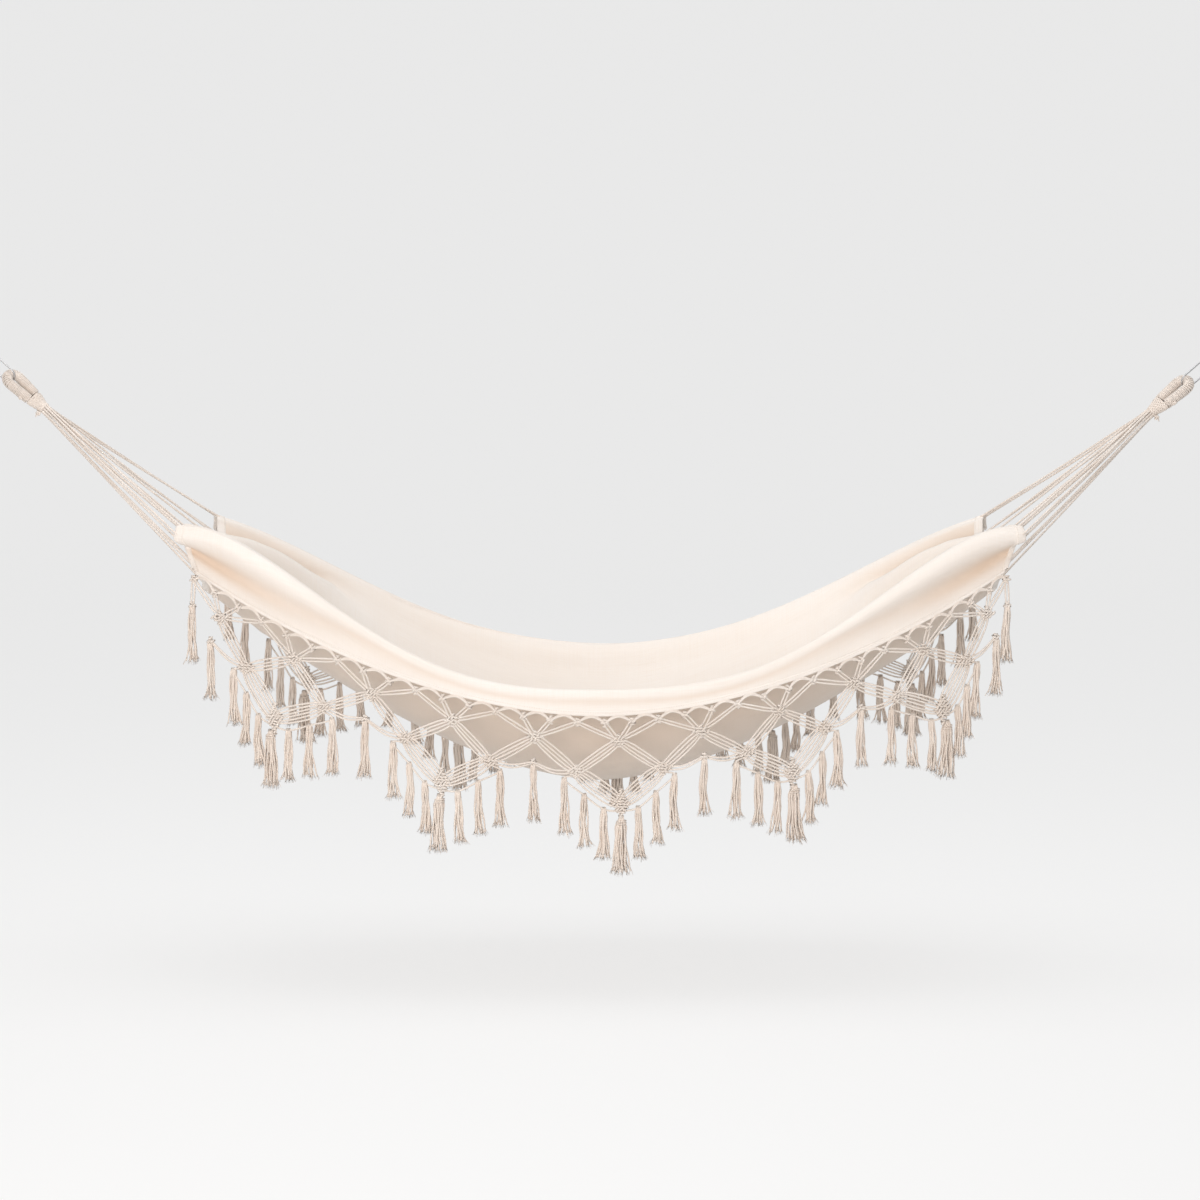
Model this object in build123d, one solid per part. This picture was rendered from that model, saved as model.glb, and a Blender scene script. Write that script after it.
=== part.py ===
from build123d import *
import math
import os

# Gathered-end canvas hammock with a knotted net fringe, hung from two steel links.
# X runs along the hammock, Y away from its near side and Z up. All sizes are in millimetres.
# Heights are drops below the seat of the left link. While the shapes are made, X = 0 is the
# middle of the bed. The finished pieces move by left_seat_reach, so the seat becomes the origin.

# Hanging points
left_seat_reach = 1312.0
right_seat_reach = 1306.0
right_seat_drop = 14.0
left_pull_angle = 43.2
right_pull_angle = 40.9

# Steel links
link_wire_radius = 1.9
link_half_width = 17.5
link_length = 82.0
link_clearance = 0.6

# Rope eyes
eye_core_radius = 6.5
wrap_cord_radius = 2.25
wrap_clearance = 0.45
eye_bend_radius = 17.0
eye_leg_length = 52.0
leg_foot = 0.9
turns_per_leg = 9
turns_at_bend = 5
throat_length = 35.0
throat_ribs = 5
rib_depth = 1.2
tail_knot_radius = 6.0
tail_knot_inset = 0.5
piece_gap = 0.3

# Suspension cords
cord_radius = 2.5
cord_columns = 4
cord_spacing = 5.5

# Canvas bed
cloth_thickness = 3.0
bed_half_length = 835.0
end_hem_width = 22.0
end_hem_thickness = 7.0
side_hem_thickness = 7.0
side_hem_height = 9.0
half_width_middle = 305.0
half_width_end = 213.0
near_crest_drop_middle = 686.0
near_crest_drop_end = 358.0
far_crest_drop_middle = 652.0
far_crest_drop_end = 356.0
near_hem_drop_middle = 731.0
near_hem_drop_end = 446.0
far_hem_drop_middle = 697.0
far_hem_drop_end = 441.0
belly_drop_middle = 915.0
belly_drop_end = 497.0
crest_half_length = bed_half_length + 21.0
hem_outset = 15.0
roll_radius_middle = 11.0
roll_radius_end = 26.0
fold_height = 120.0
bed_station_shares = [0, 0.18, 0.347, 0.491, 0.611, 0.719, 0.808, 0.886, 0.949, 1]
bed_stations = [share * bed_half_length for share in bed_station_shares]

# Net fringe
points_per_side = 5
attachments_per_half = 3
fringe_cord_width = 4.0
fringe_cord_spacing = 6.6
net_thickness = 6.0
lean_share = 0.7
hitch_depth = 13.0
first_knot_depth = 51.0
second_knot_depth = 114.0
tip_knot_depth = 180.0
valley_knot_depth = 104.0
edge_hangers = [(0.63, 131.0, "outer"), (0.40, 162.0, "middle"), (0.19, 190.0, "inner")]
end_loop_depth = 68.0
hitch_knot_radius = 5.5
lattice_knot_radius = 15.0
tip_knot_radius = 20.0
hanger_knot_radius = 6.0
valley_knot_radius = 8.5
hanger_outset = 5.0

# Tassels
tassel_radius = 7.0
tassel_flare = 4.5
tip_tassel_growth = 1.6
tassel_lengths = {"tip": 114.0, "inner": 105.0, "middle": 107.0, "outer": 112.0, "valley": 114.0}



def blend(a, b, share):
    return a + (b - a) * share


def ease(x):
    x = min(1.0, max(0.0, x))
    return x * x * (3 - 2 * x)


# Long lines of the bed: each is a drop at distance x from the middle

def crest_drop(x, side):
    f = min(1.0, abs(x) / crest_half_length)
    if side < 0:
        rise = ease(f ** 1.5)
        return blend(near_crest_drop_middle, near_crest_drop_end, rise)
    rise = 0.5 * ease(f ** 1.4) + 0.5 * f ** 1.6
    return blend(far_crest_drop_middle, far_crest_drop_end, rise)


def hem_drop(x, side):
    f = abs(x) / bed_half_length
    if side < 0:
        return blend(near_hem_drop_middle, near_hem_drop_end, f ** 1.85)
    return blend(far_hem_drop_middle, far_hem_drop_end, f ** 1.8)


def belly_drop(x):
    return blend(belly_drop_middle, belly_drop_end, (abs(x) / bed_half_length) ** 1.65)


def half_width(x):
    f = abs(x) / crest_half_length
    return blend(half_width_middle, half_width_end, f * f)


def trough_point(x, share):
    """Y and Z of the bed's inside at a share of its half width, with the folds of the gathered end."""
    f = abs(x) / crest_half_length
    gather = ease((f - 0.55) / 0.3)
    fold = min(0.72, 0.35 + 1.25 * (1 - f))
    dip = fold + 0.55 * (1 - fold)
    crest = crest_drop(x, -1 if share < 0 else 1)
    belly = belly_drop(x)
    z = -belly + (belly - crest) * abs(share) ** (2 + 0.4 * ease((f - 0.3) / 0.6))
    height = fold_height * gather * (1 - 0.22 * ease((f - 0.88) / 0.12))
    z += height * math.exp(-(((share - fold) / 0.17) ** 2))
    z -= 0.18 * fold_height * gather * math.exp(-(((share - dip) / 0.09) ** 2))
    z -= 0.12 * fold_height * gather * math.exp(-(((share + 0.4) / 0.2) ** 2))
    return share * half_width(x), z


def edge_points(x, side):
    """From the side hem up over the rolled crest to the inside of the trough."""
    f = abs(x) / crest_half_length
    w = half_width(x)
    roll_share = ease((f - 0.5) / 0.35)
    r = blend(roll_radius_middle, roll_radius_end, roll_share)
    crest = -crest_drop(x, side)
    hem = -hem_drop(x, side)
    groove = blend(crest - 2.2 * r, hem + 33, roll_share)
    rows = [
        (w + hem_outset, hem),
        (w + blend(12, -3, roll_share), groove),
        (w + r, crest - 1.05 * r),
        (w + 0.5 * r, crest - 0.15 * r),
        (w - 0.15 * r, crest),
        (w - 0.8 * r, crest - 0.45 * r),
    ]
    return [(side * y, z) for y, z in rows]


def section_points(x):
    """The bed's section from the near hem to the far hem, through smooth points."""
    f = abs(x) / crest_half_length
    fold = min(0.72, 0.35 + 1.25 * (1 - f))
    dip = fold + 0.55 * (1 - fold)
    shares = [-0.8, -0.6, -0.38, -0.15, 0.5 * (fold - 0.15), fold - 0.1, fold]
    shares += [0.5 * (fold + dip), dip]
    near = edge_points(x, -1)
    far = edge_points(x, 1)
    far.reverse()
    return near + [trough_point(x, s) for s in shares] + far


def fill(points):
    """The points with one more between each pair, on a smooth curve through them."""
    ways = [(b - a).normalized() for a, b in zip(points, points[1:])]
    spans = [(b - a).length for a, b in zip(points, points[1:])]
    tangents = [ways[0]]
    for i in range(1, len(ways)):
        tangents.append((ways[i - 1] * spans[i] + ways[i] * spans[i - 1]).normalized())
    tangents.append(ways[-1])
    out = [points[0]]
    for i, span in enumerate(spans):
        middle = (points[i] + points[i + 1]) * 0.5
        out.append(middle + (tangents[i] - tangents[i + 1]) * (span / 8))
        out.append(points[i + 1])
    return out


def section(x):
    """The middle line of the cloth across the bed at x."""
    return fill([Vector(x, y, z) for y, z in section_points(x)])


def offset_line(points, distance):
    out = []
    for i, p in enumerate(points):
        way = points[min(len(points) - 1, i + 1)] - points[max(0, i - 1)]
        out.append(p + Vector(1, 0, 0).cross(way).normalized() * distance)
    return out


def arc_or_line(a, b, c):
    """An arc from a to c through b, or a line where the three are nearly in line."""
    chord = c - a
    if chord.cross(b - a).length / chord.length < 0.02:
        return [Edge.make_line(a, c)]
    return [Edge.make_three_point_arc(a, b, c)]


def band_wire(x, thickness):
    """The closed outline of the cloth's section at x."""
    middle = section(x)
    top = offset_line(middle, 0.5 * thickness)
    low = offset_line(middle, -0.5 * thickness)
    low.reverse()
    edges = []
    for row, other in ((top, low), (low, top)):
        for i in range(0, len(row) - 2, 2):
            edges += arc_or_line(row[i], row[i + 1], row[i + 2])
        edges.append(Edge.make_line(row[-1], other[0]))
    return Wire(edges)


def make_bed():
    stations = [-x for x in reversed(bed_stations[1:])] + bed_stations
    return Solid.make_loft([band_wire(x, cloth_thickness) for x in stations], ruled=True)


def make_end_hem(side):
    """The cloth's end folded over into a thick band."""
    inner = side * bed_half_length
    outer = side * (bed_half_length + end_hem_width)
    return Solid.make_loft(
        [band_wire(x, end_hem_thickness) for x in (inner, outer)], ruled=True
    )


def cloth_edge(x, side):
    """The cloth's side edge at x, the way that it points, and the way across it."""
    points = section(x)
    if side > 0:
        points.reverse()
    down = (points[0] - points[1]).normalized()
    return points[0], down, down.cross(Vector(1, 0, 0))


def hem_wire(x, side):
    """Four corners of the rolled side hem, just below the cloth's edge."""
    edge, down, across = cloth_edge(x, side)
    half = across * (0.5 * side_hem_thickness)
    foot = edge + down * side_hem_height
    return Wire.make_polygon([edge + half, edge - half, foot - half, foot + half])


def hem_foot(x, side):
    """The place just below the side hem at x."""
    edge, down, across = cloth_edge(x, side)
    clear = piece_gap + 0.5 * side_hem_thickness * abs(across.Z)
    return edge + down * side_hem_height - Vector(0, 0, clear)


def make_side_hem(side):
    stations = [-x for x in reversed(bed_stations[1:])] + bed_stations
    return Solid.make_loft([hem_wire(x, side) for x in stations], ruled=True)


# Ends: link, eye, throat and cords, along a line of pull from the throat to the seat

class End:
    """The line of pull of one end and the two directions across it."""

    def __init__(self, side):
        self.side = side
        angle = math.radians(left_pull_angle if side < 0 else right_pull_angle)
        self.pull = Vector(side * math.cos(angle), 0, math.sin(angle))
        rise = Vector(-side * math.sin(angle), 0, math.cos(angle))
        twist = math.radians(55)
        self.wide = rise * math.cos(twist) + Vector(0, math.sin(twist), 0)
        self.across = self.pull.cross(self.wide)
        reach = left_seat_reach if side < 0 else right_seat_reach
        drop = 0.0 if side < 0 else right_seat_drop
        self.seat = Vector(side * reach, 0, -drop)
        self.rise = rise

        self.wrap_radius = eye_core_radius + wrap_clearance + wrap_cord_radius
        self.leg_radius = self.wrap_radius + wrap_cord_radius
        self.crotch_half = self.leg_radius + 0.4
        self.bend_centre = eye_leg_length
        rise_of_leg = self.bend_centre - leg_foot
        slant = math.hypot(self.crotch_half, rise_of_leg)
        self.taper = math.asin(eye_bend_radius / slant) - math.atan2(self.crotch_half, rise_of_leg)
        self.leg = math.sqrt(slant ** 2 - eye_bend_radius ** 2)
        self.bend = eye_bend_radius * (math.pi + 2 * self.taper)
        self.contact = self.bend_centre + eye_bend_radius - self.leg_radius
        link_inner = self.contact - link_clearance - link_wire_radius
        self.link_middle = link_inner + 0.5 * link_length
        self.seat_height = link_inner + link_length - link_wire_radius
        self.throat_top = self.seat - self.pull * self.seat_height
        self.neck = self.throat_top - self.pull * throat_length

    def at(self, height, wide=0.0, across=0.0):
        """A point above the throat's top, offset across the pull."""
        return self.throat_top + self.pull * height + self.wide * wide + self.across * across


def eye_frame(end, s):
    """Centre and outward direction of the eye's rope at length s along it."""
    flip = 1
    if s > end.leg + 0.5 * end.bend:
        flip = -1
        s = 2 * end.leg + end.bend - s
    turn = max(0.0, s - end.leg) / eye_bend_radius - end.taper
    out = end.wide * (flip * math.cos(turn)) + end.pull * math.sin(turn)
    place = end.at(end.bend_centre) + out * eye_bend_radius
    if s < end.leg:
        up = end.wide * (flip * math.sin(end.taper)) + end.pull * math.cos(end.taper)
        place -= up * (end.leg - s)
    return place, out


def eye_path(end):
    """The middle of the eye's rope: a leg, a round bend and a leg."""
    marks = [0, end.leg] + [end.leg + share * end.bend for share in (0.25, 0.5, 0.75, 1)]
    p = [eye_frame(end, s)[0] for s in marks + [2 * end.leg + end.bend]]
    return Wire([
        Edge.make_line(p[0], p[1]),
        Edge.make_three_point_arc(p[1], p[2], p[3]),
        Edge.make_three_point_arc(p[3], p[4], p[5]),
        Edge.make_line(p[5], p[6]),
    ])


def tube(path, radius):
    start = path @ 0
    section = Wire.make_circle(radius, Plane(origin=start, z_dir=path % 0))
    return Solid.sweep(Face(section), path)


def make_eye_core(end):
    return tube(eye_path(end), eye_core_radius)


def wrap_point(end, turn):
    """A point on the wrapping cord's middle after so many turns."""
    margin = wrap_cord_radius + piece_gap + 1.5
    leg_pitch = (end.leg - margin) / turns_per_leg
    if turn <= turns_per_leg:
        s = margin + leg_pitch * turn
    elif turn <= turns_per_leg + turns_at_bend:
        s = end.leg + end.bend * (turn - turns_per_leg) / turns_at_bend
    else:
        s = end.leg + end.bend + leg_pitch * (turn - turns_per_leg - turns_at_bend)
    place, out = eye_frame(end, s)
    angle = 2 * math.pi * turn
    return place + (out * math.cos(angle) + end.across * math.sin(angle)) * end.wrap_radius


def biarc(a, ta, b, tb):
    """Two tangent arcs from a, leaving along ta, to b, arriving along tb."""
    v = b - a
    t = ta + tb
    k = 2 * (1 - ta.dot(tb))
    vt = v.dot(t)
    d = (math.sqrt(vt * vt + k * v.dot(v)) - vt) / k
    joint = (a + ta * d + b - tb * d) * 0.5
    middle = (joint - a - ta * d).normalized()
    return [Edge.make_tangent_arc(a, ta, joint), Edge.make_tangent_arc(joint, middle, b)]


def make_wrapping(end):
    turns = 2 * turns_per_leg + turns_at_bend
    count = 4 * turns
    step = 1e-3
    places = [wrap_point(end, i / 4) for i in range(count + 1)]
    ways = []
    for i in range(count + 1):
        a = wrap_point(end, max(0, i / 4 - step))
        b = wrap_point(end, min(turns, i / 4 + step))
        ways.append((b - a).normalized())
    edges = []
    for i in range(count):
        edges += biarc(places[i], ways[i], places[i + 1], ways[i + 1])
    path = Wire(edges)
    samples = [wrap_point(end, i / 40) for i in range(40 * turns + 1)]
    least = min(
        (samples[i] - samples[j]).length
        for i in range(0, len(samples), 2)
        for j in range(i + 20, min(len(samples), i + 61))
    )
    print("wrapping's least gap to itself", round(least - 2 * wrap_cord_radius, 2))
    return tube(path, wrap_cord_radius)


def throat_ring(end, height, wide, narrow):
    place = end.throat_top - end.pull * height
    return Wire.make_ellipse(wide, narrow, Plane(origin=place, x_dir=end.wide, z_dir=end.pull))


def throat_size(end, share):
    """Half width and half depth of the throat, from the two legs down to the round neck."""
    neck = neck_radius()
    wide = blend(end.crotch_half + end.leg_radius, neck, ease(share))
    return wide, blend(end.leg_radius + 0.5, neck, ease(share))


def neck_radius():
    half = 0.5 * (cord_columns - 1) * cord_spacing
    return math.hypot(half, cord_spacing) + cord_radius + 0.5


def make_throat(end):
    rings = []
    steps = 2 * throat_ribs
    for i in range(steps + 1):
        wide, narrow = throat_size(end, i / steps)
        cut = rib_depth if i % 2 else 0.0
        rings.append(throat_ring(end, throat_length * i / steps, wide - cut, narrow - cut))
    return Solid.make_loft(rings, ruled=True)


def make_tail_knot(end):
    wide, narrow = throat_size(end, 0.9)
    low = -end.rise
    way = (low - Vector(0, 0.6, 0)).normalized()
    place = end.neck + end.pull * 3 + way * (narrow + piece_gap + tail_knot_radius - tail_knot_inset)
    return Solid.make_sphere(tail_knot_radius, Plane(place))


def make_link(end):
    half = 0.5 * link_length - link_half_width
    c = [end.at(end.link_middle + side * half) for side in (-1, 1)]
    out = end.across * link_half_width
    tip = end.pull * link_half_width
    slant = (out + tip).normalized() * link_half_width
    slope = (out - tip).normalized() * link_half_width
    path = Wire([
        Edge.make_line(c[0] + out, c[1] + out),
        Edge.make_three_point_arc(c[1] + out, c[1] + slant, c[1] + tip),
        Edge.make_three_point_arc(c[1] + tip, c[1] - slope, c[1] - out),
        Edge.make_line(c[1] - out, c[0] - out),
        Edge.make_three_point_arc(c[0] - out, c[0] - slant, c[0] - tip),
        Edge.make_three_point_arc(c[0] - tip, c[0] + slope, c[0] + out),
    ])
    return tube(path, link_wire_radius)


def cord_feet(side):
    """Where the cords meet the end hem: near flap, near crest, folds, far crest with its flap."""
    columns = [[1, 3, 5], [7, 9, 11, 14], [18, 23, 25, 28], [32, 34, 38]]
    line = section(side * (bed_half_length + end_hem_width))
    return [sorted((line[i] for i in column), key=lambda p: -p.Z) for column in columns]


def make_cords(end):
    """Straight cords from the neck to the end hem, cut square to X where they meet it."""
    stop = end.side * (bed_half_length + end_hem_width + piece_gap)
    size = left_seat_reach
    block = Box(size, size, size).moved(Location((stop - 0.5 * end.side * size, 0, -0.5 * size)))
    cords = []
    for c, column in enumerate(cord_feet(end.side)):
        for r, foot in enumerate(column):
            head = end.neck + end.rise * ((0.5 * (len(column) - 1) - r) * cord_spacing)
            head += Vector(0, (c - 0.5 * (cord_columns - 1)) * cord_spacing, 0)
            way = (foot - head).normalized()
            share = -way.dot(end.pull)
            start = (piece_gap + cord_radius * math.sqrt(1 - share ** 2)) / share
            length = (foot - head).length - start + 10
            rod = Solid.make_cylinder(cord_radius, length, Plane(head + way * start, z_dir=way))
            cords += (rod - block).solids()
    return cords


# Net fringe: places are (k, depth), with k in half points from the middle of the side

def hem_x(k):
    """Distance along X of attachment place k."""
    share = k / (points_per_side + 0.5)
    return bed_half_length * (1.075 * share - 0.075 * share ** 3)


class Fringe:
    """The flat net of one point of the fringe, in its own upright plane."""

    def __init__(self, side, centre):
        self.side = side
        self.centre = centre
        self.low = centre - 1
        self.high = centre + 1
        self.last = centre == points_per_side - 1
        a = hem_foot(hem_x(self.low), side)
        b = hem_foot(hem_x(self.high), side)
        middle = hem_foot(hem_x(centre), side)
        flat = Vector(b.X - a.X, b.Y - a.Y, 0).normalized()
        out = Vector(-flat.Y, flat.X, 0)
        origin = Vector(a.X, a.Y, 0) + out * (0.5 * (middle - a).dot(out))
        self.plane = Plane(origin=origin, x_dir=flat, z_dir=flat.cross(Vector(0, 0, 1)))

    def spot(self, k, depth):
        """Plane coordinates of a place in the net, leaning with the slope of the hem."""
        x = hem_x(k)
        foot = hem_foot(x, self.side)
        slope = hem_foot(x + 1, self.side).Z - hem_foot(x - 1, self.side).Z
        lean = lean_share * math.atan(0.5 * slope)
        local = self.plane.to_local_coords(foot)
        return local.X + depth * math.sin(lean), local.Y - depth * math.cos(lean)

    def owned(self):
        """The ends of this point whose shared knots it holds: the ones away from the middle."""
        if self.centre == 0:
            return [self.low, self.high]
        return [self.high]


def strip(a, b, offset=0.0):
    size = math.dist(a, b)
    ux = (b[0] - a[0]) / size
    uy = (b[1] - a[1]) / size
    corners = []
    for p, way in ((a, 1), (a, -1), (b, -1), (b, 1)):
        shift = offset + way * 0.5 * fringe_cord_width
        corners.append(Vector(p[0] - uy * shift, p[1] + ux * shift, 0))
    return Face(Wire.make_polygon(corners))


def disc(place, radius, stretch=1.0):
    plane = Plane(origin=(place[0], place[1], 0), x_dir=(0, 1, 0), z_dir=(0, 0, 1))
    return Face(Wire.make_ellipse(radius * stretch, radius * 0.999, plane))


def bundle(a, b, count):
    return [strip(a, b, (i - 0.5 * (count - 1)) * fringe_cord_spacing) for i in range(count)]


def hanger_radius(kind):
    return valley_knot_radius if kind == "valley" else hanger_knot_radius


def tassel_places(net):
    """Each hanger's place in the net, as plane coordinates with the tassel's kind."""
    rows = []
    for way in (-1, 1):
        for reach, depth, kind in edge_hangers:
            u, v = net.spot(net.centre + way * reach, depth)
            rows.append((u + way * hanger_outset, v, kind))
    rows.append((*net.spot(net.centre, tip_knot_depth + 30), "tip"))
    for k in net.owned():
        rows.append((*net.spot(k, valley_knot_depth), "valley"))
    if net.last:
        rows.append((*net.spot(net.high + 0.5, end_loop_depth), "valley"))
    return rows


def scallops(net):
    """Cords that swing from hitch to hitch just under the hem, with the hitches' knots."""
    step = 1 / attachments_per_half
    places = [net.low] + [net.low + (i + 0.5) * step for i in range(2 * attachments_per_half)]
    places.append(net.high)
    if net.last:
        places[-1:] = [net.high + 0.5 * step, net.high + 0.5]
    top = 0.5 * fringe_cord_width
    cords = []
    for a, b in zip(places, places[1:]):
        peaks = [net.spot(blend(a, b, share), top) for share in (0.3, 0.7)]
        cords.append(strip(peaks[0], peaks[1]))
        if a != net.low:
            cords.append(strip(net.spot(a, hitch_depth), peaks[0]))
        if b != net.high:
            cords.append(strip(peaks[1], net.spot(b, hitch_depth)))
    knots = [k for k in places if k not in (net.low, net.high)]
    return cords, [disc(net.spot(k, hitch_depth), hitch_knot_radius) for k in knots]


def lattice(net):
    """The crossing cords, from the hitches down to the tip."""
    c = net.centre
    cords = []
    for k, ways in ((net.low, [1]), (c, [-1, 1]), (net.high, [-1, 1] if net.last else [-1])):
        for way in ways:
            for reach in (0.5, 0.5 / attachments_per_half):
                hitch = net.spot(k + way * reach, hitch_depth)
                cords += bundle(hitch, net.spot(k, first_knot_depth), 2)
    for way in (-1, 1):
        low = net.spot(c + 0.5 * way, second_knot_depth)
        cords += bundle(net.spot(c, first_knot_depth), low, 4)
        cords += bundle(net.spot(c + way, first_knot_depth), low, 4)
        cords += bundle(low, net.spot(c, tip_knot_depth), 6)
        cords += bundle(low, net.spot(c + way, valley_knot_depth), 2)
        edge = [low] + [net.spot(c + way * reach, depth) for reach, depth, kind in edge_hangers]
        edge.append(net.spot(c, tip_knot_depth + 10))
        cords += [strip(a, b) for a, b in zip(edge, edge[1:])]
    if net.last:
        k = net.high + 0.5
        cords += bundle(net.spot(k, hitch_depth), net.spot(k, end_loop_depth), 2)
    return cords


def lattice_knots(net):
    c = net.centre
    knots = [disc(net.spot(c, first_knot_depth), lattice_knot_radius)]
    knots.append(disc(net.spot(c, tip_knot_depth), tip_knot_radius, 1.35))
    for way in (-1, 1):
        knots.append(disc(net.spot(c + 0.5 * way, second_knot_depth), lattice_knot_radius))
    for k in net.owned():
        knots.append(disc(net.spot(k, first_knot_depth), lattice_knot_radius))
    knots += [disc((u, v), hanger_radius(kind)) for u, v, kind in tassel_places(net)]
    return knots


def shared_knots(net):
    """Room for the knots that the neighbour nearer to the middle holds."""
    if net.centre == 0:
        return []
    first = disc(net.spot(net.low, first_knot_depth), lattice_knot_radius + piece_gap)
    valley = disc(net.spot(net.low, valley_knot_depth), valley_knot_radius + piece_gap)
    return [first, valley]


def make_net(net):
    """One holed sheet of cords and knots."""
    cords, knots = scallops(net)
    cords += lattice(net)
    knots += lattice_knots(net)
    sheet = cords[0].fuse(*cords[1:], *knots)
    room = shared_knots(net)
    if room:
        sheet = sheet.cut(*room)
    face = max(sheet.faces(), key=lambda f: f.area)
    face = face.moved(Location((0, 0, -0.5 * net_thickness)))
    solid = Solid.extrude(face, Vector(0, 0, net_thickness))
    return [net.plane.from_local_coords(solid)]


def make_tassel(net, u, v, kind):
    """A bundle of yarn that hangs straight down from its hanger."""
    size = tip_tassel_growth if kind == "tip" else 1.0
    length = tassel_lengths[kind]
    r = tassel_radius * size
    outline = [(0, 0), (2.5, 0), (2.5, -2), (r, -2 - 1.2 * r), (1.05 * r, -0.6 * length)]
    outline += [(r + tassel_flare, -length), (0, -length)]
    profile = Face(Wire.make_polygon([Vector(a, 0, b) for a, b in outline]))
    drop = hanger_radius(kind) + piece_gap
    top = net.plane.from_local_coords(Vector(u, v - drop, 0))
    return Solid.revolve(profile, 360, Axis.Z).moved(Location(top))


def save(name, shapes):
    solids = []
    for shape in shapes:
        solids += shape.solids()
    moved = [s.moved(Location((left_seat_reach, 0, 0))) for s in solids]
    if len(moved) == 1:
        export_step(moved[0], f"parts/{name}.step")
    else:
        export_step(Compound(children=moved), f"parts/{name}.step")


def make_fringe(side, name):
    """The points of one side. The ones left of the middle mirror the ones right of it."""
    for i in range(points_per_side // 2 + 1):
        net = Fringe(side, 2 * i)
        pieces = make_net(net)
        tassels = [make_tassel(net, *row) for row in tassel_places(net)]
        middle = points_per_side // 2 + 1
        save(f"{name}_net_{middle + i}", pieces)
        save(f"{name}_tassels_{middle + i}", tassels)
        if i:
            save(f"{name}_net_{middle - i}", [s.mirror(Plane.YZ) for s in pieces])
            save(f"{name}_tassels_{middle - i}", [s.mirror(Plane.YZ) for s in tassels])


def main():
    os.makedirs("parts", exist_ok=True)
    save("bed_canvas", [make_bed()])
    for side, name in ((-1, "near"), (1, "far")):
        save(f"{name}_side_hem", [make_side_hem(side)])
        make_fringe(side, name)
    for side, name in ((-1, "left"), (1, "right")):
        end = End(side)
        save(f"{name}_end_hem", [make_end_hem(side)])
        save(f"{name}_hanging_link", [make_link(end)])
        save(f"{name}_eye_core", [make_eye_core(end)])
        save(f"{name}_eye_wrapping", [make_wrapping(end)])
        save(f"{name}_throat", [make_throat(end)])
        save(f"{name}_tail_knot", [make_tail_knot(end)])
        save(f"{name}_suspension_cords", make_cords(end))
        contact = end.at(end.contact) + Vector(left_seat_reach, 0, 0)
        seat = end.seat + Vector(left_seat_reach, 0, 0)
        print(name, "eye contact", [round(v, 2) for v in contact])
        print(name, "seat", [round(v, 2) for v in seat], "pull", [round(v, 4) for v in end.pull])


if __name__ == "__main__":
    main()
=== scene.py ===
import math
import random

import bpy
import numpy as np
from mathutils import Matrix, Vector


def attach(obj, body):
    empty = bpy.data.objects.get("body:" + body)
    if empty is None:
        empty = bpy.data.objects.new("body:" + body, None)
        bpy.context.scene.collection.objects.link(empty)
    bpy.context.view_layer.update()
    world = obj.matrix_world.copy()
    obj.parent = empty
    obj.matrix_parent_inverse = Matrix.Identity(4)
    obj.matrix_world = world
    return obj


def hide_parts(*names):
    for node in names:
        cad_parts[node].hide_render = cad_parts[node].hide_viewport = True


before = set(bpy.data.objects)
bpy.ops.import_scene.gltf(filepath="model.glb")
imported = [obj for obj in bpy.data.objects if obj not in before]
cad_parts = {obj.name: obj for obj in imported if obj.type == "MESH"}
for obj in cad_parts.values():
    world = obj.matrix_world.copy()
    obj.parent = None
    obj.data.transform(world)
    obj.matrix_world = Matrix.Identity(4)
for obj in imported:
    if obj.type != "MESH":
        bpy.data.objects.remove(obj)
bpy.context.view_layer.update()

mm = 0.001
middleX = 1.312  # the bed's middle, along X from the left seat

# Camera and studio

studio = {
    "cameraSpot": (1.312, -5.365, -0.0979),
    "lens": 75.0,
    "pitch": -4.574,
    "floorZ": -1.332,
    "floorReach": 20.0,
    "wallDistance": 16.0,
    "wallHeight": 14.0,
    "bendRadius": 6.0,
    "bendSteps": 24,
    "paperColour": (0.83, 0.83, 0.825, 1),
    "worldStrength": 0.54,
    "paperGlow": 0.67,
    "paperSeen": (0.27, 0.27, 0.268, 1),
    "skySeen": 0.30,
    "lampAim": (middleX, 0, -0.65),
    "overheadPower": 52.0,
    "overheadColour": (1.0, 1.0, 1.0),
    "overheadSpot": (1.25, -0.3, 2.6),
    "overheadSize": (3.6, 2.4),
    "frontPower": 84.0,
    "frontColour": (1.0, 0.93, 0.885),
    "frontSpot": (0.5, -4.3, -0.15),
    "frontSize": (2.2, 2.2),
}


def addCamera():
    data = bpy.data.cameras.new("camera")
    data.sensor_width = 36
    data.lens = studio["lens"]
    camera = bpy.data.objects.new("camera", data)
    camera.location = studio["cameraSpot"]
    camera.rotation_euler = (math.radians(90 + studio["pitch"]), 0, 0)
    bpy.context.scene.collection.objects.link(camera)
    bpy.context.scene.camera = camera


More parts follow.
